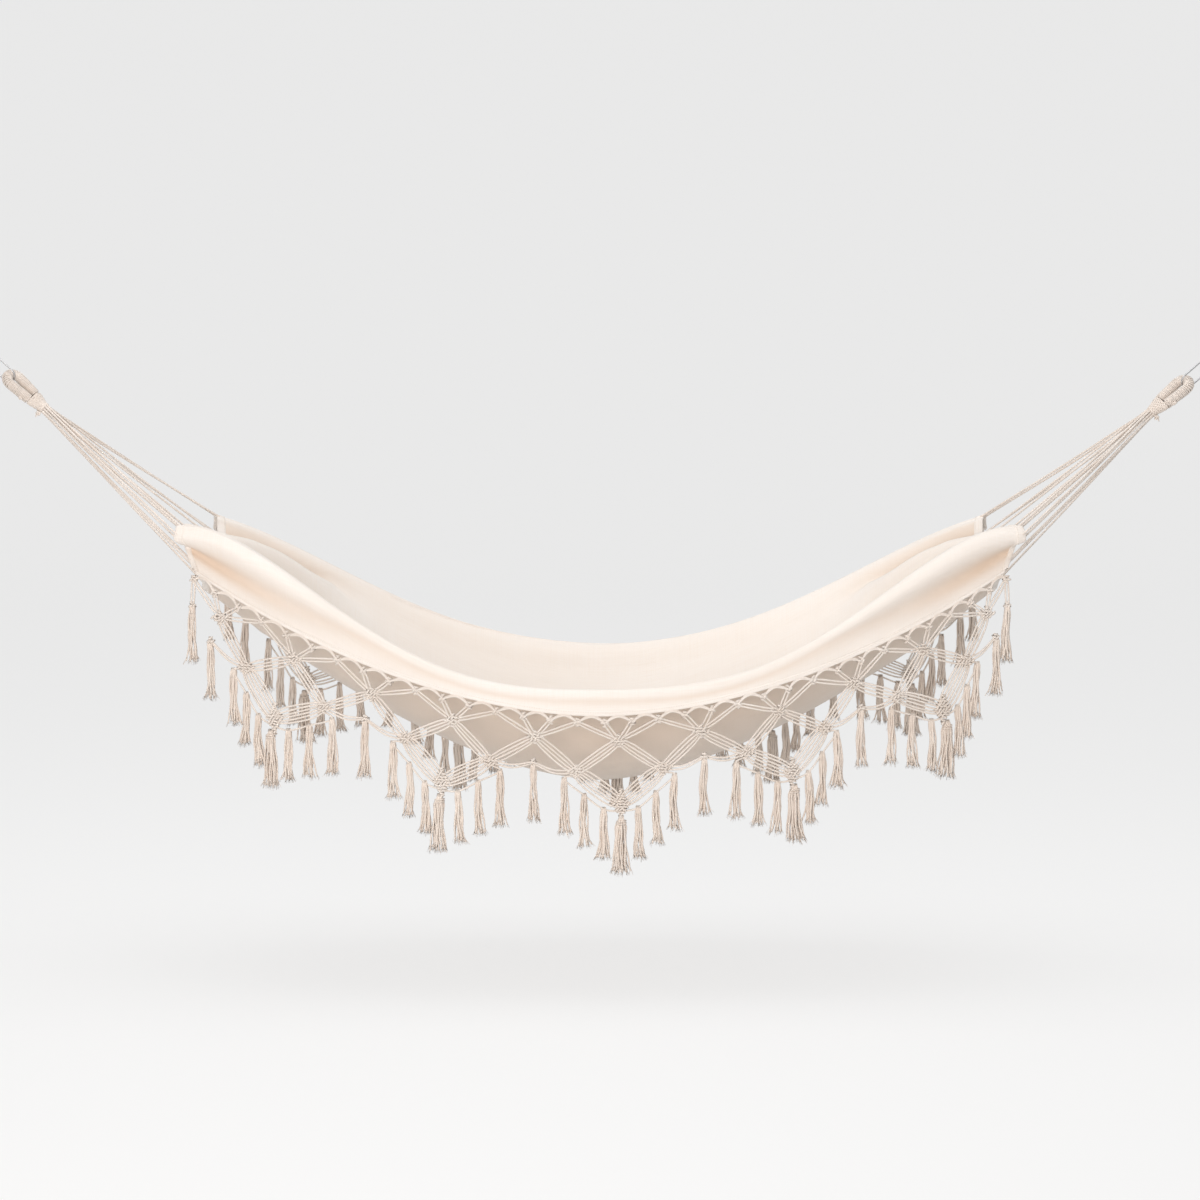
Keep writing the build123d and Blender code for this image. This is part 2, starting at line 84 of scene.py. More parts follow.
def addStudio():
    scene = bpy.context.scene
    scene.view_settings.view_transform = "Standard"
    world = bpy.data.worlds.new("studioWorld")
    scene.world = world
    world.use_nodes = True
    tree = world.node_tree
    background = tree.nodes["Background"]
    background.inputs["Color"].default_value = (1, 1, 1, 1)
    path = tree.nodes.new("ShaderNodeLightPath")  # paler to the camera only
    extra = mathNode(tree, "MULTIPLY", path.outputs["Is Camera Ray"], studio["skySeen"])
    strength = mathNode(tree, "ADD", extra, studio["worldStrength"])
    tree.links.new(strength, background.inputs["Strength"])

    # floor that bends up into the wall
    reach, radius, steps = studio["floorReach"], studio["bendRadius"], studio["bendSteps"]
    bendStart = studio["wallDistance"] - radius
    profile = [(-reach, 0.0), (bendStart, 0.0)]
    for i in range(1, steps + 1):
        turn = math.radians(90 * i / steps)
        profile.append((bendStart + radius * math.sin(turn), radius - radius * math.cos(turn)))
    profile.append((studio["wallDistance"], studio["wallHeight"]))
    verts = [(middleX + side * reach, y, studio["floorZ"] + z) for y, z in profile for side in (-1, 1)]
    faces = [(2 * i, 2 * i + 1, 2 * i + 3, 2 * i + 2) for i in range(len(profile) - 1)]
    mesh = bpy.data.meshes.new("paperSweep")
    mesh.from_pydata(verts, [], faces)
    for polygon in mesh.polygons:
        polygon.use_smooth = True
    paper = bpy.data.objects.new("paperSweep", mesh)
    scene.collection.objects.link(paper)
    mesh.materials.append(paperMaterial())

    for name in ("overhead", "front"):
        light = bpy.data.lights.new(name + "Light", "AREA")
        light.energy = studio[name + "Power"]
        light.color = studio[name + "Colour"]
        light.shape = "RECTANGLE"
        light.size, light.size_y = studio[name + "Size"]
        lamp = bpy.data.objects.new(name + "Light", light)
        lamp.visible_camera = False
        lamp.location = studio[name + "Spot"]
        aim = Vector(studio["lampAim"]) - lamp.location
        lamp.rotation_euler = aim.to_track_quat("-Z", "Y").to_euler()
        scene.collection.objects.link(lamp)
    print("studio ready")


# Shared shader groups


def newGroup(name, inputs, outputs):
    group = bpy.data.node_groups.new(name, "ShaderNodeTree")
    for label, kind, value in inputs:
        socket = group.interface.new_socket(name=label, in_out="INPUT", socket_type=kind)
        socket.default_value = value
    for label, kind in outputs:
        group.interface.new_socket(name=label, in_out="OUTPUT", socket_type=kind)
    return group, group.nodes.new("NodeGroupInput"), group.nodes.new("NodeGroupOutput")


def feed(tree, value, socket):  # a constant, or a link from another socket
    if isinstance(value, (int, float, tuple)):
        socket.default_value = value
    else:
        tree.links.new(value, socket)


def mathNode(tree, operation, *values):
    node = tree.nodes.new("ShaderNodeMath")
    node.operation = operation
    for i, value in enumerate(values):
        feed(tree, value, node.inputs[i])
    return node.outputs[0]


def noiseNode(tree, vector, scale, detail, roughness=0.5):
    node = tree.nodes.new("ShaderNodeTexNoise")
    for label, value in (("Vector", vector), ("Scale", scale), ("Detail", detail), ("Roughness", roughness)):
        feed(tree, value, node.inputs[label])
    return node.outputs["Fac"]


def stretchNode(tree, vector, scale):
    node = tree.nodes.new("ShaderNodeVectorMath")
    node.operation = "MULTIPLY"
    feed(tree, vector, node.inputs[0])
    feed(tree, scale, node.inputs[1])
    return node.outputs[0]


def mixColours(tree, mask, first, second):
    node = tree.nodes.new("ShaderNodeMix")
    node.data_type = "RGBA"
    for value, socket in ((mask, "Factor"), (first, 6), (second, 7)):
        feed(tree, value, node.inputs[socket])
    return node.outputs[2]


def spreadNode(tree, value, *limits):  # low and high of the value, then of the result
    node = tree.nodes.new("ShaderNodeMapRange")
    for label, limit in zip(("From Min", "From Max", "To Min", "To Max"), limits):
        node.inputs[label].default_value = limit
    tree.links.new(value, node.inputs["Value"])
    return node.outputs["Result"]


def bumpNode(tree, height, strength, distance, under=None):
    node = tree.nodes.new("ShaderNodeBump")
    node.inputs["Strength"].default_value = strength
    node.inputs["Distance"].default_value = distance
    tree.links.new(height, node.inputs["Height"])
    if under is not None:
        tree.links.new(under, node.inputs["Normal"])
    return node.outputs["Normal"]


def yarnGroup():
    group, start, end = newGroup(
        "yarnTone",
        [
            ("Pale", "NodeSocketColor", (0.8, 0.75, 0.65, 1)),
            ("Deep", "NodeSocketColor", (0.7, 0.6, 0.5, 1)),
            ("Fleck Scale", "NodeSocketFloat", 900.0),
        ],
        [("Colour", "NodeSocketColor"), ("Fibre", "NodeSocketFloat")],
    )
    uv = group.nodes.new("ShaderNodeUVMap").outputs["UV"]
    place = group.nodes.new("ShaderNodeNewGeometry")
    patch = noiseNode(group, place.outputs["Position"], 14.0, 3.0)
    fibre = noiseNode(group, stretchNode(group, uv, (1.0, 0.22, 1.0)), start.outputs["Fleck Scale"], 2.0)
    shares = [mathNode(group, "MULTIPLY", part, share) for part, share in ((patch, 0.6), (fibre, 0.4))]
    mask = spreadNode(group, mathNode(group, "ADD", *shares), 0.36, 0.62, 0.0, 1.0)
    colour = mixColours(group, mask, start.outputs["Deep"], start.outputs["Pale"])
    group.links.new(colour, end.inputs["Colour"])
    group.links.new(fibre, end.inputs["Fibre"])
    return group


def weaveGroup():
    group, start, end = newGroup(
        "plainWeave",
        [("Thread Width", "NodeSocketFloat", 0.0011), ("Slub", "NodeSocketFloat", 0.5)],
        [("Height", "NodeSocketFloat")],
    )
    uv = group.nodes.new("ShaderNodeUVMap").outputs["UV"]
    split = group.nodes.new("ShaderNodeSeparateXYZ")
    group.links.new(uv, split.inputs[0])
    sines = []
    for axis in ("X", "Y"):
        threads = mathNode(group, "DIVIDE", split.outputs[axis], start.outputs["Thread Width"])
        sines.append(mathNode(group, "SINE", mathNode(group, "MULTIPLY", threads, math.pi)))
    over = mathNode(group, "ABSOLUTE", mathNode(group, "MULTIPLY", *sines))
    # thicker places in the threads that run each way
    slubs = []
    for stretch in ((700.0, 9.0, 1.0), (9.0, 700.0, 1.0)):
        slubs.append(noiseNode(group, stretchNode(group, uv, stretch), 1.0, 2.0))
    slubs = mathNode(group, "MULTIPLY", mathNode(group, "ADD", *slubs), start.outputs["Slub"])
    height = mathNode(group, "ADD", mathNode(group, "MULTIPLY", over, 0.5), slubs)
    group.links.new(height, end.inputs["Height"])
    return group


def setInputs(node, values):
    for label, value in values.items():
        node.inputs[label].default_value = value


def placeGroup(tree, group, values):
    node = tree.nodes.new("ShaderNodeGroup")
    node.node_tree = group
    setInputs(node, values)
    return node


def newMaterial(name):
    material = bpy.data.materials.new(name)
    material.use_nodes = True
    tree = material.node_tree
    return material, tree, tree.nodes["Principled BSDF"]


def paperMaterial():
    material, tree, shader = newMaterial("paleStudioPaper")
    setInputs(shader, {"Roughness": 0.95, "Specular IOR Level": 0.0, "Emission Color": (1, 1, 1, 1)})
    path = tree.nodes.new("ShaderNodeLightPath")  # the paper is paler and more even to the camera only
    seen = mixColours(tree, path.outputs["Is Camera Ray"], studio["paperColour"], studio["paperSeen"])
    tree.links.new(seen, shader.inputs["Base Color"])
    glow = mathNode(tree, "MULTIPLY", path.outputs["Is Camera Ray"], studio["paperGlow"])
    tree.links.new(glow, shader.inputs["Emission Strength"])
    return material


cottonFinish = {"Specular IOR Level": 0.2, "Sheen Weight": 0.25, "Sheen Roughness": 0.5}

canvasLook = {
    "pale": (0.90, 0.855, 0.81, 1),
    "deep": (0.87, 0.81, 0.755, 1),
    # fold: the colour of painted shade in the low places of the weave
    "fold": (0.84, 0.75, 0.665, 1),
    # groove: the colour of painted shade, in the grooves near the ends, along the hem lips and on the underside
    "groove": (0.74, 0.58, 0.45, 1),
    "threadWidth": 1.2 * mm,
    "slub": 0.55,
    # how much each pattern is squeezed across and along the cloth
    "blotchStretch": (5.0, 2.2, 1.0),
    "creaseStretch": (46.0, 7.0, 1.0),
    # strength and depth of each bump
    "weaveBump": (0.35, 0.6 * mm),
    "creaseBump": (0.22, 6 * mm),
}

# pale and deep colours, scale of the flecks and strength of the bump
yarnLooks = {
    "hemThread": ((0.83, 0.765, 0.69, 1), (0.75, 0.675, 0.59, 1), 900.0, 0.3),
    "twistedRope": ((0.88, 0.81, 0.75, 1), (0.79, 0.70, 0.625, 1), 700.0, 0.5),
    "fringeCord": ((0.88, 0.815, 0.755, 1), (0.80, 0.715, 0.64, 1), 800.0, 0.4),
    "tasselYarn": ((0.87, 0.785, 0.71, 1), (0.785, 0.68, 0.595, 1), 1100.0, 0.2),
}
fuzzDepth = 0.6 * mm

steelLook = {
    "dull": (0.50, 0.50, 0.51, 1),
    "bright": (0.66, 0.66, 0.67, 1),
    "scratchScale": 900.0,
    "smudgeScale": 60.0,
    "roughness": (0.22, 0.42),
    "bump": (0.1, 0.3 * mm),
}


def canvasMaterial(weave):
    material, tree, shader = newMaterial("creamCanvas")
    cloth = placeGroup(tree, weave, {"Thread Width": canvasLook["threadWidth"], "Slub": canvasLook["slub"]})
    uv = tree.nodes.new("ShaderNodeUVMap").outputs["UV"]
    blotch = noiseNode(tree, stretchNode(tree, uv, canvasLook["blotchStretch"]), 1.0, 4.0)
    mask = spreadNode(tree, blotch, 0.38, 0.66, 0.0, 1.0)
    colour = mixColours(tree, mask, canvasLook["deep"], canvasLook["pale"])
    # painted shade in the low places of the weave, from its bump height
    weaveHollowShade = spreadNode(tree, cloth.outputs["Height"], 0.35, 0.75, 0.0, 1.0)
    colour = mixColours(tree, weaveHollowShade, canvasLook["fold"], colour)
    # painted shade: the valley attribute mixes in the groove colour, darker in the grooves and on the underside
    valley = tree.nodes.new("ShaderNodeAttribute")
    valley.attribute_name = "valley"
    colour = mixColours(tree, valley.outputs["Fac"], colour, canvasLook["groove"])
    tree.links.new(colour, shader.inputs["Base Color"])
    tree.links.new(spreadNode(tree, blotch, 0.3, 0.7, 0.86, 0.96), shader.inputs["Roughness"])
    fine = bumpNode(tree, cloth.outputs["Height"], *canvasLook["weaveBump"])
    crease = noiseNode(tree, stretchNode(tree, uv, canvasLook["creaseStretch"]), 1.0, 3.0, 0.55)
    soft = bumpNode(tree, crease, *canvasLook["creaseBump"], under=fine)
    tree.links.new(soft, shader.inputs["Normal"])
    setInputs(shader, cottonFinish)
    return material


def yarnMaterial(name, yarn, pale, deep, fleckScale, bump):
    material, tree, shader = newMaterial(name)
    tone = placeGroup(tree, yarn, {"Pale": pale, "Deep": deep, "Fleck Scale": fleckScale})
    tree.links.new(tone.outputs["Colour"], shader.inputs["Base Color"])
    tree.links.new(spreadNode(tree, tone.outputs["Fibre"], 0.3, 0.7, 0.8, 0.95), shader.inputs["Roughness"])
    tree.links.new(bumpNode(tree, tone.outputs["Fibre"], bump, fuzzDepth), shader.inputs["Normal"])
    setInputs(shader, cottonFinish)
    return material


def steelMaterial():
    material, tree, shader = newMaterial("brightSteelWire")
    place = tree.nodes.new("ShaderNodeNewGeometry").outputs["Position"]
    scratch = noiseNode(tree, place, steelLook["scratchScale"], 3.0)
    smudge = noiseNode(tree, place, steelLook["smudgeScale"], 2.0)
    tree.links.new(mixColours(tree, smudge, steelLook["dull"], steelLook["bright"]), shader.inputs["Base Color"])
    tree.links.new(spreadNode(tree, scratch, 0.3, 0.7, *steelLook["roughness"]), shader.inputs["Roughness"])
    tree.links.new(bumpNode(tree, scratch, *steelLook["bump"]), shader.inputs["Normal"])
    shader.inputs["Metallic"].default_value = 1.0
    return material


# Mesh tools: each part is (points, four-sided faces, UV in metres)


def buildPiece(name, parts, material, body="hammock", replaced=(), valley=None):
    points = np.concatenate([p[0] for p in parts])
    faces, start = [], 0
    for part in parts:
        faces.append(part[1] + start)
        start += len(part[0])
    faces = np.concatenate(faces).astype(np.int32)
    uvs = np.concatenate([p[2] for p in parts])
    mesh = bpy.data.meshes.new(name)
    mesh.vertices.add(len(points))
    mesh.vertices.foreach_set("co", points.astype(np.float32).ravel())
    mesh.loops.add(faces.size)
    mesh.loops.foreach_set("vertex_index", faces.ravel())
    mesh.polygons.add(len(faces))
    mesh.polygons.foreach_set("loop_start", np.arange(0, faces.size, 4, dtype=np.int32))
    mesh.polygons.foreach_set("use_smooth", np.ones(len(faces), dtype=bool))
    layer = mesh.uv_layers.new(name="length")
    layer.data.foreach_set("uv", uvs[faces.ravel()].astype(np.float32).ravel())
    mesh.update(calc_edges=True)
    # the valley attribute carries painted shade for the canvas
    if valley is not None:
        mesh.attributes.new("valley", "FLOAT", "POINT").data.foreach_set("value", valley.astype(np.float32))
    mesh.materials.append(material)
    piece = bpy.data.objects.new(name, mesh)
    bpy.context.scene.collection.objects.link(piece)
    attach(piece, body)
    if replaced:
        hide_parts(*replaced)
    return piece


def unit(rows):
    return rows / np.maximum(1e-12, np.linalg.norm(rows, axis=-1, keepdims=True))


def raised(z):
    return np.array([0.0, 0.0, z])


def runLength(path):  # length from the start of a path to each of its points
    return np.concatenate(([0.0], np.cumsum(np.linalg.norm(np.diff(path, axis=0), axis=1))))


def sampleAt(s, reach, rows):  # rows of a line at the running lengths s
    return np.stack([np.interp(s, reach, rows[:, i]) for i in range(3)], axis=-1)


def ringFaces(count, sides):
    starts = np.arange(count - 1)[:, None] * sides
    here = np.arange(sides)[None, :]
    ahead = (here + 1) % sides
    corners = [starts + here, starts + ahead, starts + sides + ahead, starts + sides + here]
    return np.stack(corners, axis=-1).reshape(-1, 4)


def carriedFrames(path):  # two directions across the path, carried along without twist
    ways = unit(np.gradient(path, axis=0))
    side = np.cross(ways[0], (0.0, 1.0, 0.0))
    if np.linalg.norm(side) < 0.2:
        side = np.cross(ways[0], (1.0, 0.0, 0.0))
    side = side / np.linalg.norm(side)
    sides = [side]
    for way in ways[1:]:
        side = side - way * np.dot(side, way)
        side = side / max(1e-12, np.linalg.norm(side))
        sides.append(side)
    sides = np.array(sides)
    return sides, np.cross(ways, sides)


def tubePart(path, radius, sides=9, plies=3, plyDepth=0.16, lay=16 * mm, phase=0.0):
    path = np.asarray(path, dtype=float)
    first, second = carriedFrames(path)
    reach = runLength(path)
    radius = np.broadcast_to(np.asarray(radius, dtype=float), (len(path),))
    angles = np.arange(sides) * (2 * math.pi / sides)
    turn = angles[None, :] + (2 * math.pi * reach / lay + phase)[:, None]
    swell = 1 - plyDepth + plyDepth * np.abs(np.cos(0.5 * plies * angles))[None, :]
    r = radius[:, None] * swell
    points = path[:, None, :] + first[:, None, :] * (r * np.cos(turn))[..., None]
    points = points + second[:, None, :] * (r * np.sin(turn))[..., None]
    around = np.broadcast_to(angles[None, :] * radius.mean(), turn.shape)
    along = np.broadcast_to(reach[:, None], turn.shape)
    uvs = np.stack((around, along), axis=-1).reshape(-1, 2)
    return points.reshape(-1, 3), ringFaces(len(path), sides), uvs


def smoothPath(points, step):
    points = np.asarray(points, dtype=float)
    if len(points) == 2:
        count = max(2, int(np.linalg.norm(points[1] - points[0]) / step) + 1)
        share = np.linspace(0, 1, count)[:, None]
        return points[0] * (1 - share) + points[1] * share
    padded = np.concatenate(([2 * points[0] - points[1]], points, [2 * points[-1] - points[-2]]))
    out = []
    for i in range(len(points) - 1):
        p0, p1, p2, p3 = padded[i : i + 4]
        count = max(1, int(np.linalg.norm(p2 - p1) / step))
        t = (np.arange(count) / count)[:, None]
        square, cube = 2 * p0 - 5 * p1 + 4 * p2 - p3, 3 * p1 - p0 - 3 * p2 + p3
        out.append(0.5 * (2 * p1 + (p2 - p0) * t + square * t**2 + cube * t**3))
    out.append(points[-1:])
    return np.concatenate(out)


# Bed shape: drops below the left seat, in metres, at distance x from the middle

bed = {
    "clothThickness": 1.6 * mm,
    "halfLength": 835 * mm,
    "crestHalfLength": 856 * mm,
    "halfWidthMiddle": 305 * mm,
    "halfWidthEnd": 213 * mm,
    "nearCrest": (686 * mm, 358 * mm),
    "farCrest": (652 * mm, 356 * mm),
    "nearHem": (731 * mm, 446 * mm),
    "farHem": (697 * mm, 441 * mm),
    "belly": (915 * mm, 497 * mm),
    "hemOutset": 15 * mm,
    "rollRadius": (11 * mm, 26 * mm),
    "foldHeight": 120 * mm,
    "stations": 260,
    "acrossSteps": 7,
    "underShadeWeights": (0.26, 0.62),  # painted shade on the underside, at the belly and by the hems
    # key line, width and depth of the painted shade in each groove near the ends
    "grooveShadePlaces": ((1.05, 0.55, 0.9), (7.4, 1.1, 0.45), (14.3, 0.75, 1.0), (19.0, 0.6, 0.8)),
    # how far each line of the cloth reaches along X, from the near hem to the far hem
    "edgeReach": (
        835, 855, 870, 868, 856, 848, 838, 836, 836, 834, 831,
        828, 828, 832, 838, 846, 850, 858, 862, 850, 830,
    ),
    "tableStep": 4 * mm,
    "tableReach": 880 * mm,
    "crowding": 0.86,  # how far the stations crowd towards the ends
}


def ease(x):
    x = min(1.0, max(0.0, x))
    return x * x * (3 - 2 * x)


def between(pair, share):
    return pair[0] + (pair[1] - pair[0]) * share


def crestDrop(x, side):
    f = min(1.0, abs(x) / bed["crestHalfLength"])
    if side < 0:
        return between(bed["nearCrest"], ease(f**1.5))
    return between(bed["farCrest"], 0.5 * ease(f**1.4) + 0.5 * f**1.6)


def hemDrop(x, side):
    f = abs(x) / bed["halfLength"]
    if side < 0:
        return between(bed["nearHem"], f**1.85)
    return between(bed["farHem"], f**1.8)


def halfWidth(x):
    f = abs(x) / bed["crestHalfLength"]
    return between((bed["halfWidthMiddle"], bed["halfWidthEnd"]), f * f)


def foldShares(f):  # the middle ridge and the dip beyond it, as shares of the half width
    fold = min(0.72, 0.35 + 1.25 * (1 - f))
    return fold, fold + 0.55 * (1 - fold)


def troughPoint(x, share):
    f = abs(x) / bed["crestHalfLength"]
    gather = ease((f - 0.55) / 0.3)
    fold, dip = foldShares(f)
    crest = crestDrop(x, -1 if share < 0 else 1)
    belly = between(bed["belly"], (abs(x) / bed["halfLength"]) ** 1.65)
    z = -belly + (belly - crest) * abs(share) ** (2 + 0.4 * ease((f - 0.3) / 0.6))
    height = bed["foldHeight"] * gather * (1 - 0.22 * ease((f - 0.88) / 0.12))
    z += height * math.exp(-(((share - fold) / 0.17) ** 2))
    z -= 0.18 * bed["foldHeight"] * gather * math.exp(-(((share - dip) / 0.09) ** 2))
    z -= 0.12 * bed["foldHeight"] * gather * math.exp(-(((share + 0.4) / 0.2) ** 2))
    return share * halfWidth(x), z


def edgePoints(x, side):
    f = abs(x) / bed["crestHalfLength"]
    w = halfWidth(x)
    rollShare = ease((f - 0.5) / 0.35)
    r = between(bed["rollRadius"], rollShare)
    crest = -crestDrop(x, side)
    hem = -hemDrop(x, side)
    groove = between((crest - 2.2 * r, hem + 33 * mm), rollShare)
    rows = [
        (w + bed["hemOutset"], hem),
        (w + between((12 * mm, -3 * mm), rollShare), groove),
        (w + r, crest - 1.05 * r),
        (w + 0.5 * r, crest - 0.15 * r),
        (w - 0.15 * r, crest),
        (w - 0.8 * r, crest - 0.45 * r),
    ]
    return [(side * y, z) for y, z in rows]


def sectionKeys(x):
    fold, dip = foldShares(abs(x) / bed["crestHalfLength"])
    shares = [-0.8, -0.6, -0.38, -0.15, 0.5 * (fold - 0.15), fold - 0.1, fold, 0.5 * (fold + dip), dip]
    far = edgePoints(x, 1)
    far.reverse()
    return np.array(edgePoints(x, -1) + [troughPoint(x, s) for s in shares] + far)


def sectionLine(x):  # a smooth curve through the key points, with the same steps between each two
    keys = sectionKeys(x)
    spans = np.linalg.norm(np.diff(keys, axis=0), axis=1)
    ways = np.diff(keys, axis=0) / spans[:, None]
    tangents = [ways[0]]
    for i in range(1, len(ways)):
        t = ways[i - 1] * spans[i] + ways[i] * spans[i - 1]
        tangents.append(t / np.linalg.norm(t))
    tangents.append(ways[-1])
    t = (np.arange(bed["acrossSteps"]) / bed["acrossSteps"])[:, None]
    rows = []
    for i, span in enumerate(spans):
        a, b = keys[i], keys[i + 1]
        ta, tb = tangents[i] * span, tangents[i + 1] * span
        start = a * (2 * t**3 - 3 * t**2 + 1) + ta * (t**3 - 2 * t**2 + t)
        rows.append(start + b * (3 * t**2 - 2 * t**3) + tb * (t**3 - t**2))
    rows.append(keys[-1:])
    return np.concatenate(rows)


tableStep = bed["tableStep"]
sectionTable = np.array([sectionLine(i * tableStep) for i in range(int(bed["tableReach"] / tableStep) + 2)])
acrossCount = sectionTable.shape[1]
keyLine = np.arange(acrossCount) / bed["acrossSteps"]
edgeReach = np.interp(keyLine, np.arange(len(bed["edgeReach"])), np.array(bed["edgeReach"]) * mm)


def clothPoint(x, column):
    place = np.clip(np.abs(x) / tableStep, 0, len(sectionTable) - 2)
    low = np.floor(place).astype(int)
    share = (place - low)[..., None]
    yz = sectionTable[low, column] * (1 - share) + sectionTable[low + 1, column] * share
    return np.concatenate([(np.asarray(x) + middleX)[..., None], yz], axis=-1)


def clothGrid(stations):
    crowding = bed["crowding"]
    t = np.sin(np.linspace(-1, 1, stations) * math.pi / 2 * crowding) / math.sin(math.pi / 2 * crowding)
    late = np.clip((np.abs(t) - 0.82) / 0.18, 0, 1) ** 2
    x = t[:, None] * bed["halfLength"]
    x = x + np.sign(t)[:, None] * late[:, None] * (edgeReach[None, :] - bed["halfLength"])
    columns = np.broadcast_to(np.arange(acrossCount)[None, :], x.shape)
    return clothPoint(x, columns), t


def clothNormals(grid):
    along = np.gradient(grid, axis=0)
    across = np.gradient(grid, axis=1)
    return unit(np.cross(along, across))


# painted shade in the grooves near the ends and along the hem lips
def valleyShades(grid):
    f = np.abs(grid[..., 0] - middleX) / bed["crestHalfLength"]
    key = np.broadcast_to(keyLine, f.shape)
    late = np.clip((f - 0.62) / 0.3, 0, 1)
    shade = np.zeros(f.shape)
    for centre, width, weight in bed["grooveShadePlaces"]:
        shade = np.maximum(shade, weight * late * np.exp(-(((key - centre) / width) ** 2)))
    lipShade = np.exp(-(((key - 1.1) / 0.5) ** 2)) + np.exp(-(((key - 19.0) / 0.5) ** 2))
    shade = np.maximum(shade, 0.35 * lipShade)
    return np.clip(shade, 0, 1).ravel()


# painted shade: the underside of the cloth darker and warmer, most by the hems
def underShades(grid):
    key = np.broadcast_to(keyLine, grid.shape[:2])
    belly = np.exp(-(((key - 10.5) / 3.2) ** 2))
    return between(bed["underShadeWeights"][::-1], belly).ravel()


def waves(rng, count, low, high):  # number of turns, phase and weight of each wave
    return [(rng.uniform(low, high), rng.uniform(0, 6.28), rng.uniform(0.4, 1.0)) for _ in range(count)]


def bedGrid():
    grid, t = clothGrid(bed["stations"])
    normals = clothNormals(grid)
    rng = random.Random(11)
    ends = np.clip((np.abs(t) - 0.72) / 0.28, 0, 1)
    column = np.arange(acrossCount) / (acrossCount - 1)
    # small gathers that run out of the end hems
    pucker = np.zeros(grid.shape[:2])
    for side in (-1, 1):
        here = (np.sign(t) == side) * ends**2.2
        ripple = np.zeros(acrossCount)
        for turns, phase, weight in waves(rng, 5, 14, 34):
            ripple += weight * np.sin(2 * math.pi * turns * column + phase)
        pucker += here[:, None] * ripple[None, :] * 1.3 * mm
    # faint long creases and slack in the trough
    slack = np.zeros(grid.shape[:2])
    x = grid[..., 0] - middleX
    for _ in range(16):
        centre = rng.uniform(0.16, 0.84)
        drift = rng.uniform(-0.10, 0.10)
        width = rng.uniform(0.006, 0.016)
        start = rng.uniform(-0.5, 0.5)
        length = rng.uniform(0.16, 0.38)
        height = rng.uniform(-1.0, 1.0) * 3.6 * mm
        line = centre + drift * (x - start) / 0.5
        fade = np.exp(-(((x - start) / length) ** 2))
        slack += height * fade * np.exp(-(((column[None, :] - line) / width) ** 2))
    for turns, phase, weight in waves(rng, 4, 1.5, 5):
        slack += weight * mm * np.sin(2 * math.pi * turns * column[None, :] + phase + 3.0 * x)
    inside = np.clip((column - 0.10) / 0.08, 0, 1) * np.clip((0.90 - column) / 0.08, 0, 1)
    return grid + normals * (pucker + slack * inside[None, :])[..., None]


def sheetPart(grid, thickness):
    normals = clothNormals(grid)
    rows, columns = grid.shape[:2]
    middle = columns // 2
    top = (grid + normals * 0.5 * thickness).reshape(-1, 3)
    low = (grid - normals * 0.5 * thickness).reshape(-1, 3)
    across = np.array([runLength(row) for row in grid])
    across = across - across[:, middle : middle + 1]
    along = np.repeat(runLength(grid[:, middle])[:, None], columns, axis=1)
    uv = np.stack((across, along), axis=-1).reshape(-1, 2)
    index = np.arange(rows * columns).reshape(rows, columns)
    quads = np.stack((index[:-1, :-1], index[1:, :-1], index[1:, 1:], index[:-1, 1:]), axis=-1).reshape(-1, 4)
    under = quads[:, ::-1] + rows * columns
    rim = np.concatenate((index[0], index[1:, -1], index[-1, -2::-1], index[-2::-1, 0]))
    ahead = np.roll(rim, -1)
    edge = np.stack((rim, ahead, ahead + rows * columns, rim + rows * columns), axis=-1)[:-1]
    return np.concatenate((top, low)), np.concatenate((quads, under, edge)), np.concatenate((uv, uv))


def polylineLength(points):
    return float(np.linalg.norm(np.diff(points, axis=0), axis=1).sum())


# Hems: the folded edge of the cloth, with a row of stitches

hem = {"sideWidth": 11 * mm, "sideThickness": 4.2 * mm, "endWidth": 20 * mm, "endThickness": 5.0 * mm,
       "stitchLength": 3.2 * mm, "stitchPitch": 5.0 * mm, "stitchRadius": 0.42 * mm}


def bandPart(line, down, across, width, thickness, overlap):
    sides = 14
    turn = np.arange(sides) * 2 * math.pi / sides
    widthShare = np.sign(np.cos(turn)) * np.abs(np.cos(turn)) ** 0.6
    depthShare = np.sign(np.sin(turn)) * np.abs(np.sin(turn)) ** 0.8
    centre = line + down * (0.5 * width - overlap)
    points = centre[:, None, :] + down[:, None, :] * (0.5 * width * widthShare)[None, :, None]
    points = points + across[:, None, :] * (0.5 * thickness * depthShare)[None, :, None]
    around = turn / (2 * math.pi) * 2 * (width + thickness)
    uv = np.stack(np.broadcast_arrays(around[None, :], runLength(line)[:, None]), axis=-1).reshape(-1, 2)
    return points.reshape(-1, 3), ringFaces(len(line), sides), uv


def stitchParts(line, normals):
    reach = runLength(line)
    parts = []
    spot = hem["stitchPitch"]
    while spot < reach[-1] - hem["stitchPitch"]:
        marks = spot + np.array([-0.5, -0.3, 0.0, 0.3, 0.5]) * hem["stitchLength"]
        lift = np.array([-1.2, 0.2, 0.55, 0.2, -1.2])[:, None] * hem["stitchRadius"]
        path = sampleAt(marks, reach, line) + sampleAt(spot, reach, normals) * lift
        parts.append(tubePart(path, hem["stitchRadius"], sides=5, plyDepth=0))
        spot += hem["stitchPitch"]
    return parts


def sideHemLine(grid, side):
    column = 0 if side < 0 else -1
    inner = 1 if side < 0 else -2
    line = grid[:, column]
    down = unit(line - grid[:, inner])
    along = unit(np.gradient(line, axis=0))
    return line, down, unit(np.cross(down, along)) * side


